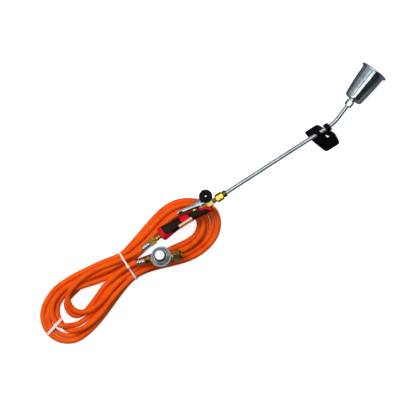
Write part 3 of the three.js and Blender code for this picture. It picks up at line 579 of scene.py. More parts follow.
# The hose in order from the torch: the half it goes round, where across the tie it starts and on which
# layer, its lane at each key (0 outermost, 1 innermost) and its level there.
ARCS = [
    ("left", -0.4, 2, (0.18, 0.80, 1.0, 1.0, 0.62), (1, 1, 0.3, 1, 1)),
    ("right", -32.9, 1, (0.62, 0.70, 0.78, 0.76, 0.78), TOP_LEVEL),
    ("left", -4.6, 1, (0.52, 0.25, 0.335, 0.60, 0.64), (1, 1, 0, 1, 0)),
    ("right", -18.75, 1, (1, 1, 1, 1, 1), FLOOR_LEVEL),
    ("left", -18.75, 0, (1.0, 0.52, 0.49, 0.30, 0.22), (0.9, 0.9, 0.2, 0, 1)),
    ("right", -47, 1, (0.32, 0.28, 0.265, 0.28, 0.28), (0, 0, 0, 1, 1)),
    ("left", 9.5, 1, (0, 0, 0, 0, 0), FLOOR_LEVEL),
    ("right", -47, 0, (0, 0, 0, 0, 0), FLOOR_LEVEL),
    ("left", 9.5, 0, (0.34, 0.24, 0.14, 0.20, 0.40), FLOOR_LEVEL),
    ("right", -32.9, 0, (0.66, 0.58, 0.54, 0.56, 0.55), FLOOR_LEVEL),
    ("left", -4.6, 0, (0.68, 0.87, 0.81, 0.88, 1.0), FLOOR_LEVEL),
]
HANK_END = (-20.6, 2)  # across the tie, and the layer
TORCH_LEAD = [
    (-242.8, -4.4, 46), (-246.5, -4.6, 46), (-256, -4.9, 45.4), (-267, -4.2, 42.6), (-279, -2.2, 38.4),
    (-289, -0.4, 36),
]
REGULATOR_LEAD = [(-272.6, -23.9, 38.95), (-276.2, -22.4, 38.5), (-282, -21, 37.4), (-289, -20.6, 36.3)]


# How the strands settle on each other.
PLAN_EASINGS = 6
NEIGHBOURS = 4  # points fewer steps than this along the hose are not kept apart
SETTLE_ROUNDS = 240
RELAX_ROUNDS = 40
PAIR_ROUNDS = 8  # rounds between two looks for near pairs
SINK = 0.25  # how far a strand falls each round
FLOOR_GAP = 0.4
TIED_REACH = 8  # each way from the middle tie
TIE_RAMP = 12  # how far from a tie the hose is held to its plan or lifted over the band
TIED_PULL = 0.5  # towards the plan, near the middle tie
LOOSE_PULL = 0.12
TORCH_END = 26  # the hose is held where it was drawn for this far from the torch's ferrule
REGULATOR_END = 14  # and this far from the regulator's


def spline(through, per=PER_SPAN):
    """A smooth line through points, with per steps a span."""
    p = np.array(through, float)
    p = np.vstack([2 * p[0] - p[1], p, 2 * p[-1] - p[-2]])
    t = np.arange(per)[:, None] / per
    spans = []
    for a, b, c, d in zip(p, p[1:], p[2:], p[3:]):
        squared = 2 * a - 5 * b + 4 * c - d
        cubed = 3 * b - a - 3 * c + d
        spans.append((2 * b + (c - a) * t + squared * t**2 + cubed * t**3) / 2)
    return np.vstack([*spans, p[-2:-1]])


def lengths(points):
    """How far along the line each point lies."""
    return np.r_[0, np.cumsum(np.linalg.norm(np.diff(points, axis=0), axis=1))]


def respace(points, step):
    """The same line with its points about step apart."""
    along = lengths(points)
    even = np.linspace(0, along[-1], int(round(along[-1] / step)) + 1)
    return np.array([np.interp(even, along, points[:, k]) for k in range(3)]).T


def soften(values, width=PER_SPAN):
    """Values smoothed along their row, with both ends kept."""
    kernel = np.hanning(2 * width + 3)[1:-1]
    padded = np.r_[[values[0]] * width, values, [values[-1]] * width]
    smooth = np.convolve(padded, kernel / kernel.sum(), "valid")
    smooth[0], smooth[-1] = values[0], values[-1]
    return smooth


def eased(points, share):
    """Points drawn towards the middle between their neighbours, with both ends kept."""
    moved = points.copy()
    moved[1:-1] += share * ((points[:-2] + points[2:]) / 2 - points[1:-1])
    return moved


def hank_arc(half, start, end, lanes, levels):
    """One strand round one half, from start to end, each (place across the tie, layer)."""
    outer, inner = (OUTER_LEFT, INNER_LEFT) if half == "left" else (OUTER_RIGHT, INNER_RIGHT)
    keys = LEFT_KEYS if half == "left" else RIGHT_KEYS
    spans = len(outer) - 1
    lane_in, lane_out = (
        (place - outer[i][1]) / (inner[i][1] - outer[i][1])
        for place, i in ((start[0], 0), (end[0], -1)))
    x = np.arange(spans * PER_SPAN + 1) / PER_SPAN
    places = [0, *keys, spans]
    lane = soften(np.interp(x, places, [lane_in, *lanes, lane_out]))[:, None]
    level = soften(np.interp(x, places, [start[1], *levels, end[1]]))
    plan = spline(outer) * (1 - lane) + spline(inner) * lane
    return np.c_[plan, HANK_BASE + HOSE_R + level * HOSE_D]


def planned_hose():
    """The whole hose as planned, before its strands settle on each other."""
    starts = [(place, layer) for _, place, layer, _, _ in ARCS]
    runs = [spline(TORCH_LEAD)]
    for (half, _, _, lanes, levels), start, end in zip(ARCS, starts, [*starts[1:], HANK_END]):
        runs.append(hank_arc(half, start, end, lanes, levels))
    runs.append(spline(REGULATOR_LEAD[::-1]))
    points = respace(np.vstack(runs), STEP)
    for _ in range(PLAN_EASINGS):
        points = eased(points, 0.5)
    return points


def near_pairs(points, reach):
    """Pairs of points within reach that are not neighbours along the hose."""
    apart = ((points[:, None, :] - points[None, :, :]) ** 2).sum(2)
    return np.nonzero(np.triu(apart < reach * reach, NEIGHBOURS))


def push_apart(points, pairs, free):
    """Moves strands that overlap until they touch."""
    first, second = pairs
    between = points[second] - points[first]
    distance = np.maximum(np.linalg.norm(between, axis=1), 1e-6)
    deep = np.maximum(HOSE_D - distance, 0)
    push = (0.5 * deep / distance)[:, None] * between
    move = np.zeros_like(points)
    count = np.zeros(len(points))
    for ends, sign in ((first, -1), (second, 1)):
        np.add.at(move, ends, sign * push)
        np.add.at(count, ends, deep > 0)
    move /= np.sqrt(np.maximum(count, 1))[:, None]
    return points + move * free[:, None]


# The ties: place and turn of each band's plane, its width and the strands it holds across that plane.
MIDDLE_TIE = {"place": (PINCH_X, 0), "turn": 0, "width": 4.2, "across": (-54, 17)}
END_TIE = {"place": (-527, -48), "turn": -75, "width": 6.4, "across": (-28, 28)}
TIE_THICK = 1.3
TIE_GAP = 0.3


def in_tie(points, tie):
    """Each point's distance from the tie's plane, and its place across it."""
    angle = math.radians(tie["turn"])
    off = points[:, :2] - np.array(tie["place"])
    ahead = off @ np.array([math.cos(angle), math.sin(angle)])
    across = off @ np.array([-math.sin(angle), math.cos(angle)])
    return ahead, across


def lowest_centre(points):
    """How low each point may lie: on the floor, and lifted over the ties' bands."""
    low = np.full(len(points), HOSE_R + FLOOR_GAP)
    for tie in (MIDDLE_TIE, END_TIE):
        ahead, across = in_tie(points, tie)
        near = (across > tie["across"][0]) & (across < tie["across"][1])
        low += near * (HANK_BASE - FLOOR_GAP) * np.clip(1.6 - np.abs(ahead) / TIE_RAMP, 0, 1)
    return low


def settled_hose():
    """The hose after its strands have sunk and pushed each other apart, held at the tie and both ends."""
    plan = planned_hose()
    points = plan.copy()
    along = lengths(points)
    free = (along >= TORCH_END) & (along <= along[-1] - REGULATOR_END)
    from_tie = np.abs(plan[:, 0] - PINCH_X)
    pull = np.where(from_tie < TIE_RAMP, TIED_PULL, LOOSE_PULL)[:, None]
    tied_top = TORCH_LEAD[-1][2] + 0.3
    for round_number in range(SETTLE_ROUNDS):
        if round_number % PAIR_ROUNDS == 0:
            pairs = near_pairs(points, HOSE_D + 8)
        points[free, 2] -= SINK
        points[:, :2] += pull * (plan - points)[:, :2]
        points[free] = (plan + eased(points - plan, 0.5))[free]
        height = points[:, 2]
        height[2:-2] += 0.3 * ((height[1:-3] + height[3:-1]) / 2 - height[2:-2]) * free[2:-2]
        for _ in range(3):
            points = push_apart(points, pairs, free)
        points[:, 2] = np.maximum(points[:, 2], lowest_centre(points))
        tied = np.abs(points[:, 0] - PINCH_X) < TIED_REACH
        points[tied, 2] = np.clip(points[tied, 2], HANK_BASE + HOSE_R, tied_top)
    for round_number in range(RELAX_ROUNDS):
        if round_number % PAIR_ROUNDS == 0:
            pairs = near_pairs(points, HOSE_D + 4)
        points = push_apart(points, pairs, free)
        points[free] = eased(points, 0.1)[free]
        points[:, 2] = np.maximum(points[:, 2], lowest_centre(points))
    return points


HOSE_LINE = settled_hose()


def make_hose():
    """The cord itself, and with it where it leaves the torch and how long it is."""
    points = [TO_FRAME @ Vector(p) for p in HOSE_LINE]
    curve = bpy.data.curves.new("gas_hose", "CURVE")
    curve.dimensions = "3D"
    curve.bevel_depth = HOSE_R * MM
    curve.bevel_resolution = 6
    curve.resolution_u = 2
    strand = curve.splines.new("POLY")
    strand.points.add(len(points) - 1)
    for target, point in zip(strand.points, points):
        target.co = (*point, 1)
    strand.use_smooth = True
    hose = bpy.data.objects.new("gas_hose", curve)
    scene.collection.objects.link(hose)
    hold(hose, "hose_rubber", "handle", "hose_hank", "torch_hose_lead", "regulator_hose_lead")
    length = sum((b - a).length for a, b in zip(points, points[1:]))
    return hose, points[0], length


hose, hose_exit, hose_length = make_hose()

# ---------------------------------------------------------------- burner
NECK_BEND_R = 75
LANCE_RUN = 293
NECK_RUN = 59
BEND = math.radians(NECK_ANGLE)
NECK_END = (
    LANCE_RUN + NECK_BEND_R * math.sin(BEND) + NECK_RUN * math.cos(BEND),
    NECK_BEND_R * (1 - math.cos(BEND)) + NECK_RUN * math.sin(BEND),
)
BURNER = TORCH @ Matrix.Translation((*NECK_END, 0)) @ turn("Z", NECK_ANGLE)
BELL_WALL = 1.3
VENTS = 8
VENT_R = 2.1
VENT_LEAN = 32
VENT_ALONG = 19.5
PORTS = 4
FLAT_UP = turn("X", 30)  # the nuts whose flats lie level


def make_bell():
    """The spun bell: round shoulder, slightly swollen flare, rolled rim and slanted air vents."""
    steps = 12
    side = []
    for i in range(1, steps):
        share = i / steps
        side.append((7 + 76.5 * share, 22.8 + 6.5 * share + 1.2 * math.sin(math.pi * share)))
    outer = [
        (0, 6.3), *arc(7, 15.8, 7, 180, 90, 14), *side, (83.5, 29.3), *arc(85.5, 31.8, 2.5, 225, -90, 20)]
    inner = [
        (83.5, 28), *((x, r - BELL_WALL) for x, r in side[::-1]), *arc(7, 15.8, 5.7, 90, 180, 12),
        (BELL_WALL, 6.3)]
    bell = turned("burner_shell", [*outer, *inner], BURNER, 144, 0)
    leaning = Matrix.Translation((VENT_ALONG, 0, 0)) @ turn("Y", -90 - VENT_LEAN)
    vents = [
        rod(18, 30, VENT_R, BURNER @ turn("X", 360 * (i + 0.25) / VENTS) @ leaning, 32)
        for i in range(VENTS)]
    carve(bell, vents)
    soften_edges(bell, 0.25, 40)
    return hold(bell, "burner_chrome", "lance", "burner_bell")


def make_burner_nut():
    """The deeply chamfered nut that holds the bell on the neck."""
    nut = hex_nut("burner_nut", 17, -19, -4, [(-19, 5.3), (-4, 5.3)], BURNER @ FLAT_UP, 2.6)
    return hold(nut, "chrome", "lance", "bell_nut")


def make_hub():
    """The holder that clamps the bell's base, with side ports that draw in air."""
    hub = turned("burner_hub", [
        (-11, 1.6), (-11, 5), (-4, 5), (-3.7, 8), (-0.3, 8), (-0.3, 6), (1.6, 6), (1.6, 10), (5, 10), (6, 9),
        (8, 7.5), (24, 7.5), (25, 6.5), (25, 4.3), (12, 4.3), (12, 1.6),
    ], BURNER, 96, 0)
    outwards = Matrix.Translation((17, 0, 0)) @ turn("Y", -90)
    ports = [
        rod(3, 9, 1.8, BURNER @ turn("X", 360 / PORTS * i) @ outwards, 24) for i in range(PORTS)]
    carve(hub, ports)
    soften_edges(hub, 0.2, 36)
    return hold(hub, "burner_chrome", "lance", "jet_holder")


make_bell()
make_burner_nut()
make_hub()
keep_node("gas_jet", "brass", 0.15)


# ---------------------------------------------------------------- lance
LANCE_R = 5
LANCE_BORE_R = 3.5
NECK_SHORT_BY = 12  # the tube ends this far short of the bell's base


def make_lance_tube():
    """The tube as rings along a straight run, the bend and the neck."""
    bend_steps = 16
    stations = [(-11, 0, 0)]
    for i in range(bend_steps + 1):
        angle = BEND * i / bend_steps
        x = LANCE_RUN + NECK_BEND_R * math.sin(angle)
        y = NECK_BEND_R * (1 - math.cos(angle))
        stations.append((x, y, angle))
    x += (NECK_RUN - NECK_SHORT_BY) * math.cos(BEND)
    y += (NECK_RUN - NECK_SHORT_BY) * math.sin(BEND)
    stations.append((x, y, BEND))
    sides = 48
    vertices, faces = [], []
    for radius in (LANCE_R, LANCE_BORE_R):
        for x, y, angle in stations:
            for k in range(sides):
                around = 2 * math.pi * k / sides
                across = radius * math.cos(around)
                vertices.append(
                    (x - across * math.sin(angle), y + across * math.cos(angle), radius * math.sin(around)))
    count = len(stations)

    def wall(first, second, flip):
        """Faces between two rings."""
        for k in range(sides):
            j = (k + 1) % sides
            face = [first * sides + k, first * sides + j, second * sides + j, second * sides + k]
            faces.append(face[::-1] if flip else face)

    for i in range(count - 1):
        wall(i, i + 1, False)
        wall(count + i, count + i + 1, True)
    wall(0, count, True)
    wall(count - 1, 2 * count - 1, False)
    return hold(mesh_piece("lance_pipe", vertices, faces, TORCH, 0.2), "chrome", "lance", "lance_tube")


def make_union():
    """The dark collar on the lance's rear end and the nut that pulls it up."""
    collar = [
        (-1.2, 5.3), (-1.2, 7), (-2.6, 8.4), (-9.6, 8.4), (-10.9, 7.4), (-11.3, 6), (-14.9, 6), (-14.9, 6.6),
        (-18.4, 6.6), (-20.6, 4.5), (-20.6, 3), (-11.4, 3), (-11.4, 5.3),
    ]
    hold(turned("union_collar", collar, TORCH), "dark_brass", "lance", "lance_collar")
    bore = [(-30, 7.1), (-14.6, 7.1), (-14.6, 6.4), (-11.7, 6.4)]
    nut = hex_nut("union_nut", 18, -30, -11.7, bore, TORCH @ FLAT_UP)
    hold(nut, "highlit_brass", "lance_nut", "lance_nut")


make_lance_tube()
make_union()
keep_node("stand", "black_paint", 0.5)

# ---------------------------------------------------------------- valve, knob and lever
KNOB_CENTRE = (-47.5, 19.7)
KNOB = TORCH @ Matrix.Translation((*KNOB_CENTRE, 0)) @ turn("Y", -90)
KNOB_R = 16.5
KNOB_LOBES = 8
KNOB_LOW = 18.4  # above the torch's plane
KNOB_HIGH = 32.4
KNOB_RIM = 2.4
LOBE_DEPTH = 0.28
PLUNGER = TORCH @ Matrix.Translation((-86, 0, 0)) @ turn("Z", 90)


def make_knob():
    """Shallow lobes with rounded rims, and a dish for the screw."""

    def shape(along, radius, angle):
        """Leaves the dish round."""
        if radius < 9:
            return radius
        return radius - LOBE_DEPTH * (1 - math.cos(KNOB_LOBES * (angle + math.pi / 2))) * radius / KNOB_R

    low, high, rim = KNOB_LOW, KNOB_HIGH, KNOB_RIM
    profile = [
        (low, 3.2), (low, 6.5), (low + 1.2, 7.2), (low + 1.2, 13),
        *arc(low + rim, KNOB_R - rim, rim, 180, 90, 8), *arc(high - rim, KNOB_R - rim, rim, 90, 0, 8),
        (high, 9.8), (high - 0.6, 9), (high - 0.6, 5.9), (27.4, 4.6), (26.7, 4.6), (26.7, 3.2),
    ]
    knob = turned("knob", profile, KNOB, 192, 0.3, shape)
    return hold(knob, "black_plastic", "pilot_valve", "pilot_knob")


def make_knob_screw():
    """The knob's domed screw with its driver slot."""
    r, top = 3, 30.6
    dome = [(27.7, 0), (27.7, r), (top - 1.2, r), (top - 0.6, r * 0.86), (top - 0.2, r * 0.6), (top, 0)]
    screw = turned("knob_fixing", dome, KNOB, 48, 0)
    slot = prism([(-4, -0.7), (4, -0.7), (4, 0.7), (-4, 0.7)], top - 0.8, top + 2, KNOB @ turn("Y", 90))
    carve(screw, [slot])
    soften_edges(screw, 0.12, 40)
    return hold(screw, "steel", "pilot_valve", "knob_screw")


def make_spindle_nut():
    """The gland nut under the knob."""
    nut = hex_nut("gland_nut", 13, 12.3, 17.6, [(12.3, 3.2), (17.6, 3.2)], KNOB)
    return hold(nut, "brass", "handle", "spindle_nut")


def make_plunger_nut():
    """The gland nut that the lever's plunger slides in."""
    nut = hex_nut("stem_nut", 12, 4.7, 9.4, [(4.7, 2.8), (9.4, 2.8)], PLUNGER, 0.8)
    return hold(nut, "brass", "handle", "plunger_nut")


def make_lever_slot_shade():
    """A black block inside the lever's rear roll: painted shade for the dark seen through its slot."""
    shade_block = prism([(-123, 19.2), (-123, 23.6), (-114, 22.4), (-114, 18.2)], -7.9, 7.9, TORCH)
    shade_block.name = "lever_slot_shade"
    soften_edges(shade_block, 0.3)
    return hold(shade_block, "black_plastic", "lever")


make_knob()
make_knob_screw()
make_spindle_nut()
keep_node("pilot_spindle", "steel", 0)
keep_node("valve_body", "shaded_valve_brass", 0.35)
keep_node("plunger", "steel", 0.15)
make_plunger_nut()
keep_node("lever_spring", "steel", 0)
keep_node("lever_pin", "steel", 0.3)
keep_node("lever", "pressed_chrome", 0.4)
make_lever_slot_shade()

# ---------------------------------------------------------------- handle
HANDLE_STATIONS = [  # x, top, bottom, half thickness
    (-190, 11, -10.5, 9), (-188, 16, -14.5, 12.4), (-184, 18, -17, 14.2), (-176, 17.2, -16.4, 15),
    (-155, 14.4, -13.8, 15), (-130, 12.4, -12, 14.4), (-118, 10.4, -12, 14), (-107, 7.7, -12.8, 13.6),
    (-82, 4.6, -15.4, 13), (-62, 1, -17, 12.4), (-54, -3.6, -18.4, 11.6), (-50, -8, -18, 10),
    (-48.5, -11, -16, 7),
]
SQUARENESS = 2.7  # of the handle's section, where 2 is an ellipse
GRIP_SKIN = 1.6
GAP = 0.3
SEAM_GROOVE = 0.35
LABEL_PLAN = [(-141, -17), (-103, -17), (-103, -2.4), (-141, -3.2)]
LABEL_THICK = 1.5
REAR_GRIP = [(-179, 30), (-129, 30), (-129, -4), (-134, -30), (-152, -30), (-157, -11), (-178, -6)]
FRONT_GRIP = [(-108, 30), (-84, 30), (-80, 0), (-58, -8), (-56, -30), (-103, -30), (-108, -6)]


def handle_form(inset, name="tool"):
    """The handle's rounded outside, drawn in all round by inset."""
    sides = 72
    rows = spline(HANDLE_STATIONS, 8)
    middle = (rows[0][0] + rows[-1][0]) / 2
    shorten = 1 - 2 * inset / (rows[-1][0] - rows[0][0])
    vertices = []
    for x, top, bottom, half in rows:
        for k in range(sides):
            angle = 2 * math.pi * k / sides
            c, s = math.cos(angle), math.sin(angle)
            across = math.copysign(abs(c) ** (2 / SQUARENESS), c)
            up = math.copysign(abs(s) ** (2 / SQUARENESS), s)
            vertices.append((
                middle + (x - middle) * shorten,
                (top + bottom) / 2 + ((top - bottom) / 2 - inset) * across,
                (half - inset) * up))
    faces = []
    for i in range(len(rows) - 1):
        for k in range(sides):
            j = (k + 1) % sides
            faces.append([i * sides + k, (i + 1) * sides + k, (i + 1) * sides + j, i * sides + j])
    last = (len(rows) - 1) * sides
    faces.append(list(range(sides)))
    faces.append([last + k for k in range(sides)][::-1])
    return mesh_piece(name, vertices, faces, TORCH)


def round_corners(points, radius, steps=5):
    """An outline with every corner rounded off."""
    rounded = []
    for i, point in enumerate(points):
        corner = Vector(point)
        before = Vector(points[i - 1]) - corner
        after = Vector(points[(i + 1) % len(points)]) - corner
        reach = min(radius, before.length / 2.1, after.length / 2.1)
        start = corner + before.normalized() * reach
        end = corner + after.normalized() * reach
        for k in range(steps + 1):
            t = k / steps
            rounded.append(tuple((1 - t) ** 2 * start + 2 * t * (1 - t) * corner + t * t * end))
    return rounded


def handle_rooms():
    """The rooms for the valve block and the inlet tube, open at the handle's top and ends."""
    return [
        prism([(-102, -8), (-57, -8), (-57, 2.6), (-102, 2.6)], -7.5, 7.5, TORCH),
        prism([(-76.6, -8), (-56, -8), (-56, 20), (-76.6, 20)], -7.5, 7.5, TORCH),
        prism([(-60, -7.6), (-30, -7.6), (-30, 20), (-60, 20)], -9.6, 9.6, TORCH),
        rod(-10, 20, 7.6, PLUNGER),
        rod(-195, -100, 4.4, TORCH @ Matrix.Translation((0, -2.2, 0))),
    ]


SCREW_PLACES = [(-184, 2), (-118, 3), (-66, -12)]


def screw_rooms():
    """The wells of the three shell screws, on the handle's underside."""
    return [
        rod(-30, -4, 3.6, TORCH @ Matrix.Translation((x, y, 0)) @ turn("Y", -90), 32)
        for x, y in SCREW_PLACES]


def grip_zone(points, by=0.0):
    """A grip's outline through the handle, narrowed at its ends by so much."""
    middle = (points[0][0] + points[1][0]) / 2
    narrowed = [(x + math.copysign(by, middle - x), y) for x, y in points]
    return prism(round_corners(narrowed, 6), -30, 30, TORCH)


def make_shell(name, node, facing):
    """Half of the handle, split on the torch's own plane, with the grips' beds sunk into it."""
    shell = handle_form(0, name)
    for zone in (REAR_GRIP, FRONT_GRIP):
        bed = handle_form(-5)
        carve(bed, [handle_form(GRIP_SKIN + GAP)])
        carve(bed, [grip_zone(zone)], "INTERSECT")
        carve(shell, [bed])
    low, high = (GAP / 2, 40) if facing > 0 else (-40, -GAP / 2)
    half = prism([(-210, -40), (-30, -40), (-30, 40), (-210, 40)], low, high, TORCH)
    carve(shell, [half], "INTERSECT")
    rooms = handle_rooms()
    if facing < 0:
        rooms += screw_rooms()
    carve(shell, rooms)
    soften_edges(shell, SEAM_GROOVE, 36)
    return hold(shell, "red_plastic", "handle", node)


def make_grip(node, zone):
    """A soft sleeve over both shells."""
    sleeve = handle_form(0, f"{node}_sleeve")
    carve(sleeve, [handle_form(GRIP_SKIN)])
    carve(sleeve, [grip_zone(zone, GAP)], "INTERSECT")
    carve(sleeve, [*handle_rooms(), *screw_rooms()])
    soften_edges(sleeve, 0.4, 36)
    return hold(sleeve, "grip_rubber", "handle", node)


def make_label():
    """The blank plaque, proud of the handle's upper side."""
    label = handle_form(-LABEL_THICK, "label_print")
    carve(label, [handle_form(-GAP)])
    plan = round_corners(LABEL_PLAN, 1.6)
    carve(label, [prism(plan, 1, 30, TORCH)], "INTERSECT")
    soften_edges(label, 0.2, 40)
    return hold(label, "label", "handle", "label_plate")


make_shell("handle_shell_top", "handle_right_shell", 1)
make_shell("handle_shell_bottom", "handle_left_shell", -1)
make_grip("rear_grip", REAR_GRIP)
make_grip("front_grip", FRONT_GRIP)
for number in range(1, len(SCREW_PLACES) + 1):
    keep_node(f"handle_screw_{number}", "steel", 0.15)
keep_node("inlet_tube", "brass", 0)
make_label()

# ---------------------------------------------------------------- hose ends
FERRULE_R = 7.5
FERRULE_BORE_R = 4.4
FERRULE_RINGS = 2
JAWS = 8
HOSE_NUT_FLATS = 18
REAR_END = TORCH @ Matrix.Translation((-190.8, -1.2, 0)) @ turn("Z", 180 + 3.5)


def make_ferrule(name, start, end, place, node):
    """A bright sleeve with pressed rings and a row of jaw marks in each."""
    pitch = (end - start) / (FERRULE_RINGS + 0.5)
    profile = [(start, FERRULE_BORE_R), (start, FERRULE_R - 0.5), (start + 0.5, FERRULE_R)]
    for i in range(FERRULE_RINGS):
        middle = start + pitch * (i + 0.75)
        profile += [
            (middle - 1.9, FERRULE_R), (middle - 1.2, FERRULE_R - 0.5), (middle, FERRULE_R - 0.8),
            (middle + 1.2, FERRULE_R - 0.5), (middle + 1.9, FERRULE_R)]
    profile += [(end - 0.5, FERRULE_R), (end, FERRULE_R - 0.5), (end, FERRULE_BORE_R)]

    def shape(along, radius, angle):
        """Waves the pressed rings round the sleeve, and leaves its ends and bore round."""
        pressed = max(0, FERRULE_R - radius) if radius > 6 and start + 1 < along < end - 1 else 0
        return radius + 0.35 * pressed * math.cos(JAWS * angle)

    return hold(turned(name, profile, place, 96, 0.15, shape), "ferrule_steel", "handle", node)


def make_inlet_adapter():
    """The short brass piece with a ball between the handle and the hose nut."""
    profile = [
        (0, 2.4), (0, 6), (1, 6.6), (3.2, 6.6), (3.6, 4.6), *arc(9.2, 0, 6.6, 135, 45, 14), (14.6, 4.6),
        (14.6, 6.4), (24, 6.4), (25, 5.4), (25, 2.4),
    ]
    return hold(turned("inlet_adapter", profile, REAR_END), "brass", "handle", "inlet_fitting")


def make_hose_nut(name, start, length, place, node):
    """A hexagon nut that holds a hose tail by its shoulder."""
    end = start + length
    bore = [(start, 6.7), (end - 3, 6.7), (end - 3, 4.2), (end, 4.2)]
    return hold(hex_nut(name, HOSE_NUT_FLATS, start, end, bore, place), "brass", "handle", node)


make_inlet_adapter()
make_hose_nut("torch_end_nut", 15, 16.5, REAR_END, "torch_hose_nut")
keep_node("torch_hose_tail", "brass", 0)
make_ferrule("torch_end_ferrule", 32.2, 51.5, REAR_END, "torch_hose_ferrule")

# ---------------------------------------------------------------- regulator
REGULATOR = (
    TO_FRAME @ Matrix.Translation((-215.3, -48.2, 45.5)) @ turn("Z", -23) @ turn("Y", -6) @ turn("X", -12))
CAP_AXIS = REGULATOR @ turn("Y", -90)
CAP_SHIFT = 3.2
CAP_MARKS = [(-2.2, -4.2), (-2.6, 3.8), (2.6, 0)]
MARK_R = 1.05


def make_well_shade():
    """A black disc at the bottom of the bonnet's well, under the cap: painted shade for the well's dark
    crescent.
    """
    well = [(22.2, 0), (22.2, 14.5), (22.9, 14.5), (22.9, 0)]
    return hold(turned("well_shade_disc", well, CAP_AXIS, 96, 0.1), "seal_rubber", "handle")


def make_spring_cap():
    """The pale adjusting cap with its key marks, off the well's middle."""
    place = CAP_AXIS @ Matrix.Translation((0, CAP_SHIFT * 0.9, CAP_SHIFT * 0.4))
    profile = [(23, 0), (23, 11.3), *arc(26.4, 10.5, 0.8, 90, 0, 5), (27, 9.4), (26.6, 8.8), (26.6, 0)]
    cap = turned("adjusting_cap", profile, place, 96, 0)
    marks = [rod(23.8, 28, MARK_R, place @ Matrix.Translation((0, *mark)), 24) for mark in CAP_MARKS]
    carve(cap, marks)
    soften_edges(cap, 0.15, 36)
    return hold(cap, "cap_metal", "handle", "spring_cap")


def make_casting():
    """The regulator's cast bowl with its outlet and inlet necks."""
    bowl = [
        (-13, 0), (-13, 12.6), *arc(-10, 13, 3, 180, 110, 5), (-8.5, 19), (9, 20.6), (10.4, 22.6),
        (14, 22.6), (14, 18), (-2, 15), (-2, 0)]
    outlet = [(-35, 0), (-35, 6.4), (-28, 6.4), (-27.6, 7.4), (-24, 8.6), (-17, 8.6), (-17, 0)]
    inlet = [(17, 0), (17, 9), (24, 9), (26, 7.6), (26.6, 7.6), (26.6, 0)]
    body = turned("regulator_casting", bowl, CAP_AXIS, 128, 0)
    carve(body, [turned("tool", neck, REGULATOR, 64, 0) for neck in (outlet, inlet)], "UNION")
    carve(body, [rod(-50, -12, 2.4, REGULATOR), rod(12, 30, 5, REGULATOR)])
    soften_edges(body, 0.5, 36)
    return hold(body, "zinc", "handle", "regulator_body")


def make_regulator_top():
    """The clamped rim and the bonnet with its bevelled ring."""
    ring = [
        (10.2, 22.9), (10.2, 24), (11, 24.8), (18, 24.8), *arc(18, 23.6, 1.2, 80, 10, 5), (19.2, 21.2),
        (18.3, 21.2), (18.3, 22.9)]
    hold(turned("rolled_rim", ring, CAP_AXIS, 128, 0.3), "rim_zinc", "handle", "regulator_clamp_ring")
    bonnet = [
        (15.8, 16), (15.8, 22.6), (18, 22.6), (18, 20.8), (19.4, 20.6), (24.6, 17), (26.6, 16.4),
        (27.6, 15.7), (27.6, 15.1), (26.6, 14.6), (18.6, 14.6), (18.6, 16)]
    hold(turned("spring_bonnet", bonnet, CAP_AXIS, 128, 0.3), "bonnet_zinc", "handle", "regulator_bonnet")


def make_cylinder_inlet():
    """The big nut, the nipple that it pulls onto the cylinder's valve, and the nipple's seal."""
    bore = [(29, 7), (40.6, 7), (40.6, 10.4), (43.6, 10.4)]
    nut = hex_nut("cylinder_nut", 27, 29, 43.6, bore, REGULATOR, 1.8, 0.3)
    hold(nut, "brass", "inlet_nut", "inlet_nut")
    nipple = [
        (26.9, 3), (26.9, 8), (28.6, 8), (28.6, 6.6), (41, 6.6), (41, 9.6), (44, 9.6), (44, 6.5), (49, 6.5),
        (49, 3)]
    hold(turned("cylinder_nipple", nipple, REGULATOR), "brass", "handle", "inlet_nipple")
    gasket = [(44.4, 6.8), (44.4, 10.4), (46.6, 10.4), (47.6, 9.4), (47.6, 6.8)]
    hold(turned("cylinder_gasket", gasket, REGULATOR), "seal_rubber", "handle", "inlet_gasket")


make_casting()
make_regulator_top()
make_well_shade()
make_spring_cap()
make_cylinder_inlet()
HOSE_SIDE = REGULATOR @ turn("Z", 180)
make_hose_nut("regulator_end_nut", 28, 14.5, HOSE_SIDE, "regulator_hose_nut")
make_ferrule("regulator_end_ferrule", 43.2, 62, HOSE_SIDE, "regulator_hose_ferrule")
keep_node("regulator_hose_tail", "brass", 0)
keep_node("diaphragm", "seal_rubber", 0)
keep_node("diaphragm_plate", "steel", 0)
keep_node("regulator_spring", "steel", 0)
keep_node("valve_lever", "brass", 0)
keep_node("valve_poppet", "brass", 0)


# ---------------------------------------------------------------- ties
def held_strands(tie):
    """Where the hose's strands cross the tie's plane, as (across, z)."""
    ahead, across = in_tie(HOSE_LINE, tie)
    low, high = tie["across"]
    strands = []
    for i in np.nonzero(ahead[:-1] * ahead[1:] < 0)[0]:
        share = ahead[i] / (ahead[i] - ahead[i + 1])
        y = across[i] + share * (across[i + 1] - across[i])
        if low < y < high:
            strands.append((y, HOSE_LINE[i, 2] + share * (HOSE_LINE[i + 1, 2] - HOSE_LINE[i, 2])))
    return np.array(strands)


def tie_place(tie):
    """The axes of a tie: along the hose, across it and up."""
    return TO_FRAME @ Matrix.Translation((*tie["place"], 0)) @ turn("Z", tie["turn"])


def make_band(name, tie, node):
    """A band pulled tight round the strands, so that it bridges between them."""
    strands = held_strands(tie)
    steps = 144
    vertices, faces = [], []
    for i in range(steps):
        angle = 2 * math.pi * i / steps
        way = np.array([math.cos(angle), math.sin(angle)])
        furthest = strands[np.argmax(strands @ way)]
        for side, reach in ((-1, 0), (1, 0), (1, TIE_THICK), (-1, TIE_THICK)):
            y, z = furthest + way * (HOSE_R + TIE_GAP + reach)
            vertices.append((side * tie["width"] / 2, y, z))
    for i in range(steps):
        j = (i + 1) % steps
        for k in range(4):
            m = (k + 1) % 4
            faces.append([4 * i + k, 4 * i + m, 4 * j + m, 4 * j + k])
    band = mesh_piece(name, vertices, faces, tie_place(tie), 0.35)
    return hold(band, "tie_nylon", "handle", node)


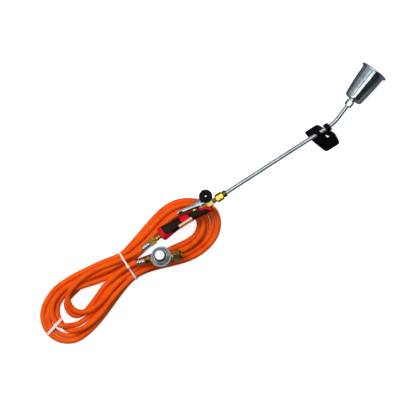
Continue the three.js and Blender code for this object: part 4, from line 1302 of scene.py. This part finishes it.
CATCH_ACROSS = -22.3  # where the catch sits across the middle tie


def make_catch():
    """The middle tie's round catch, with its strap's slot, on top of the band."""
    place = tie_place(MIDDLE_TIE) @ Matrix.Translation((0, CATCH_ACROSS, 0)) @ turn("Y", -90)
    dome = [(41.6, 0), (41.6, 3.7), *arc(44.9, 2.5, 1.2, 90, 0, 6), (46.1, 0)]
    catch = turned("tie_catch", dome, place, 48, 0)
    slot = prism([(43, -1.1), (45, -1.1), (45, 1.1), (43, 1.1)], -6, 6, place @ turn("X", 90))
    carve(catch, [slot])
    soften_edges(catch, 0.2, 36)
    return hold(catch, "tie_nylon", "handle")


make_band("middle_band", MIDDLE_TIE, "middle_tie")
make_band("end_band", END_TIE, "end_tie")
make_catch()


# ---------------------------------------------------------------- floor and light
FLOOR_REACH = 6
FLOOR_GLOW = 0.7
# The studio from the grip side to the lever side: (place, brightness).
STUDIO_BANDS = [
    (0.0, 0.4), (0.04, 0.06), (0.08, 0.03), (0.375, 0.03), (0.405, 1.7), (0.6, 1.7), (0.615, 0.03),
    (0.67, 0.03), (0.685, 1.3), (0.75, 1.0), (0.84, 0.45), (1.0, 0.3),
]
BAND_SCALE = 2  # keeps the bands' colours below 1, and the studio's strength gives it back
DIFFUSE_STRENGTH = 1.3  # the studio's strength as light on the surfaces
LOW_STUDIO = (0.055, 0.06, 0.066, 1)
HORIZON = (-0.12, 0.06)  # how the low part gives way to the bands
BACKDROP = (0.42, 0.42, 0.42, 1)
KEY_SIZE = (0.9, 0.6)
KEY_POWER = 29
KEY_PLACE = (-0.5, 1.1, 1.9)
KEY_AIM = (-0.2, 0, 0)


def make_floor():
    """A white ground for the soft shadow, kept out of the reflections and the bounced light."""
    mesh = bpy.data.meshes.new("floor")
    corners = [(x * FLOOR_REACH, y * FLOOR_REACH, 0) for x, y in ((-1, -1), (1, -1), (1, 1), (-1, 1))]
    mesh.from_pydata(corners, [], [[0, 1, 2, 3]])
    floor = bpy.data.objects.new("floor", mesh)
    scene.collection.objects.link(floor)
    finish = Finish("floor", Roughness=0.9, Specular_IOR_Level=0.1)
    finish.shader.inputs["Emission Color"].default_value = (1, 1, 1, 1)
    finish.shader.inputs["Emission Strength"].default_value = FLOOR_GLOW
    paper = [(0.3, srgb(238, 238, 238)), (0.7, srgb(244, 244, 244))]
    finish.colour(finish.ramp(finish.grain(3, 2), paper))
    mesh.materials.append(finish.material)
    floor.visible_glossy = False
    floor.visible_diffuse = False


def make_studio():
    """Bands of light and dark for the metal to mirror, dark below, and a plain backdrop.
    As a light it is dimmer than in the mirror."""
    world = bpy.data.worlds.new("studio")
    scene.world = world
    world.use_nodes = True
    studio = NodeKit(world.node_tree)
    axes = studio.axes_of(studio.nodes.new("ShaderNodeTexCoord").outputs["Generated"])
    stops = [(position, (*[level / BAND_SCALE] * 3, 1)) for position, level in STUDIO_BANDS]
    bands = studio.ramp(studio.spread(axes["Y"], 0, 1, -1, 1), stops)
    mirrored = studio.layer(studio.spread(axes["Z"], 0, 1, *HORIZON), LOW_STUDIO, bands)
    path = studio.nodes.new("ShaderNodeLightPath")
    seen = studio.layer(path.outputs["Is Camera Ray"], mirrored, BACKDROP)
    strength = studio.spread(path.outputs["Is Diffuse Ray"], BAND_SCALE, DIFFUSE_STRENGTH, 0, 1)
    background = studio.nodes["Background"]
    studio.links.new(seen, background.inputs["Color"])
    studio.links.new(strength, background.inputs["Strength"])


def make_key():
    """A broad lamp high on the lever side, kept out of the reflections."""
    key = bpy.data.lights.new("key", "AREA")
    key.shape = "RECTANGLE"
    key.size, key.size_y = KEY_SIZE
    key.energy = KEY_POWER
    lamp = bpy.data.objects.new("key", key)
    scene.collection.objects.link(lamp)
    lamp.location = KEY_PLACE
    aim = Vector(KEY_AIM) - lamp.location
    lamp.rotation_euler = aim.to_track_quat("-Z", "Y").to_euler()
    lamp.visible_camera = False
    lamp.visible_glossy = False


make_floor()
make_studio()
make_key()
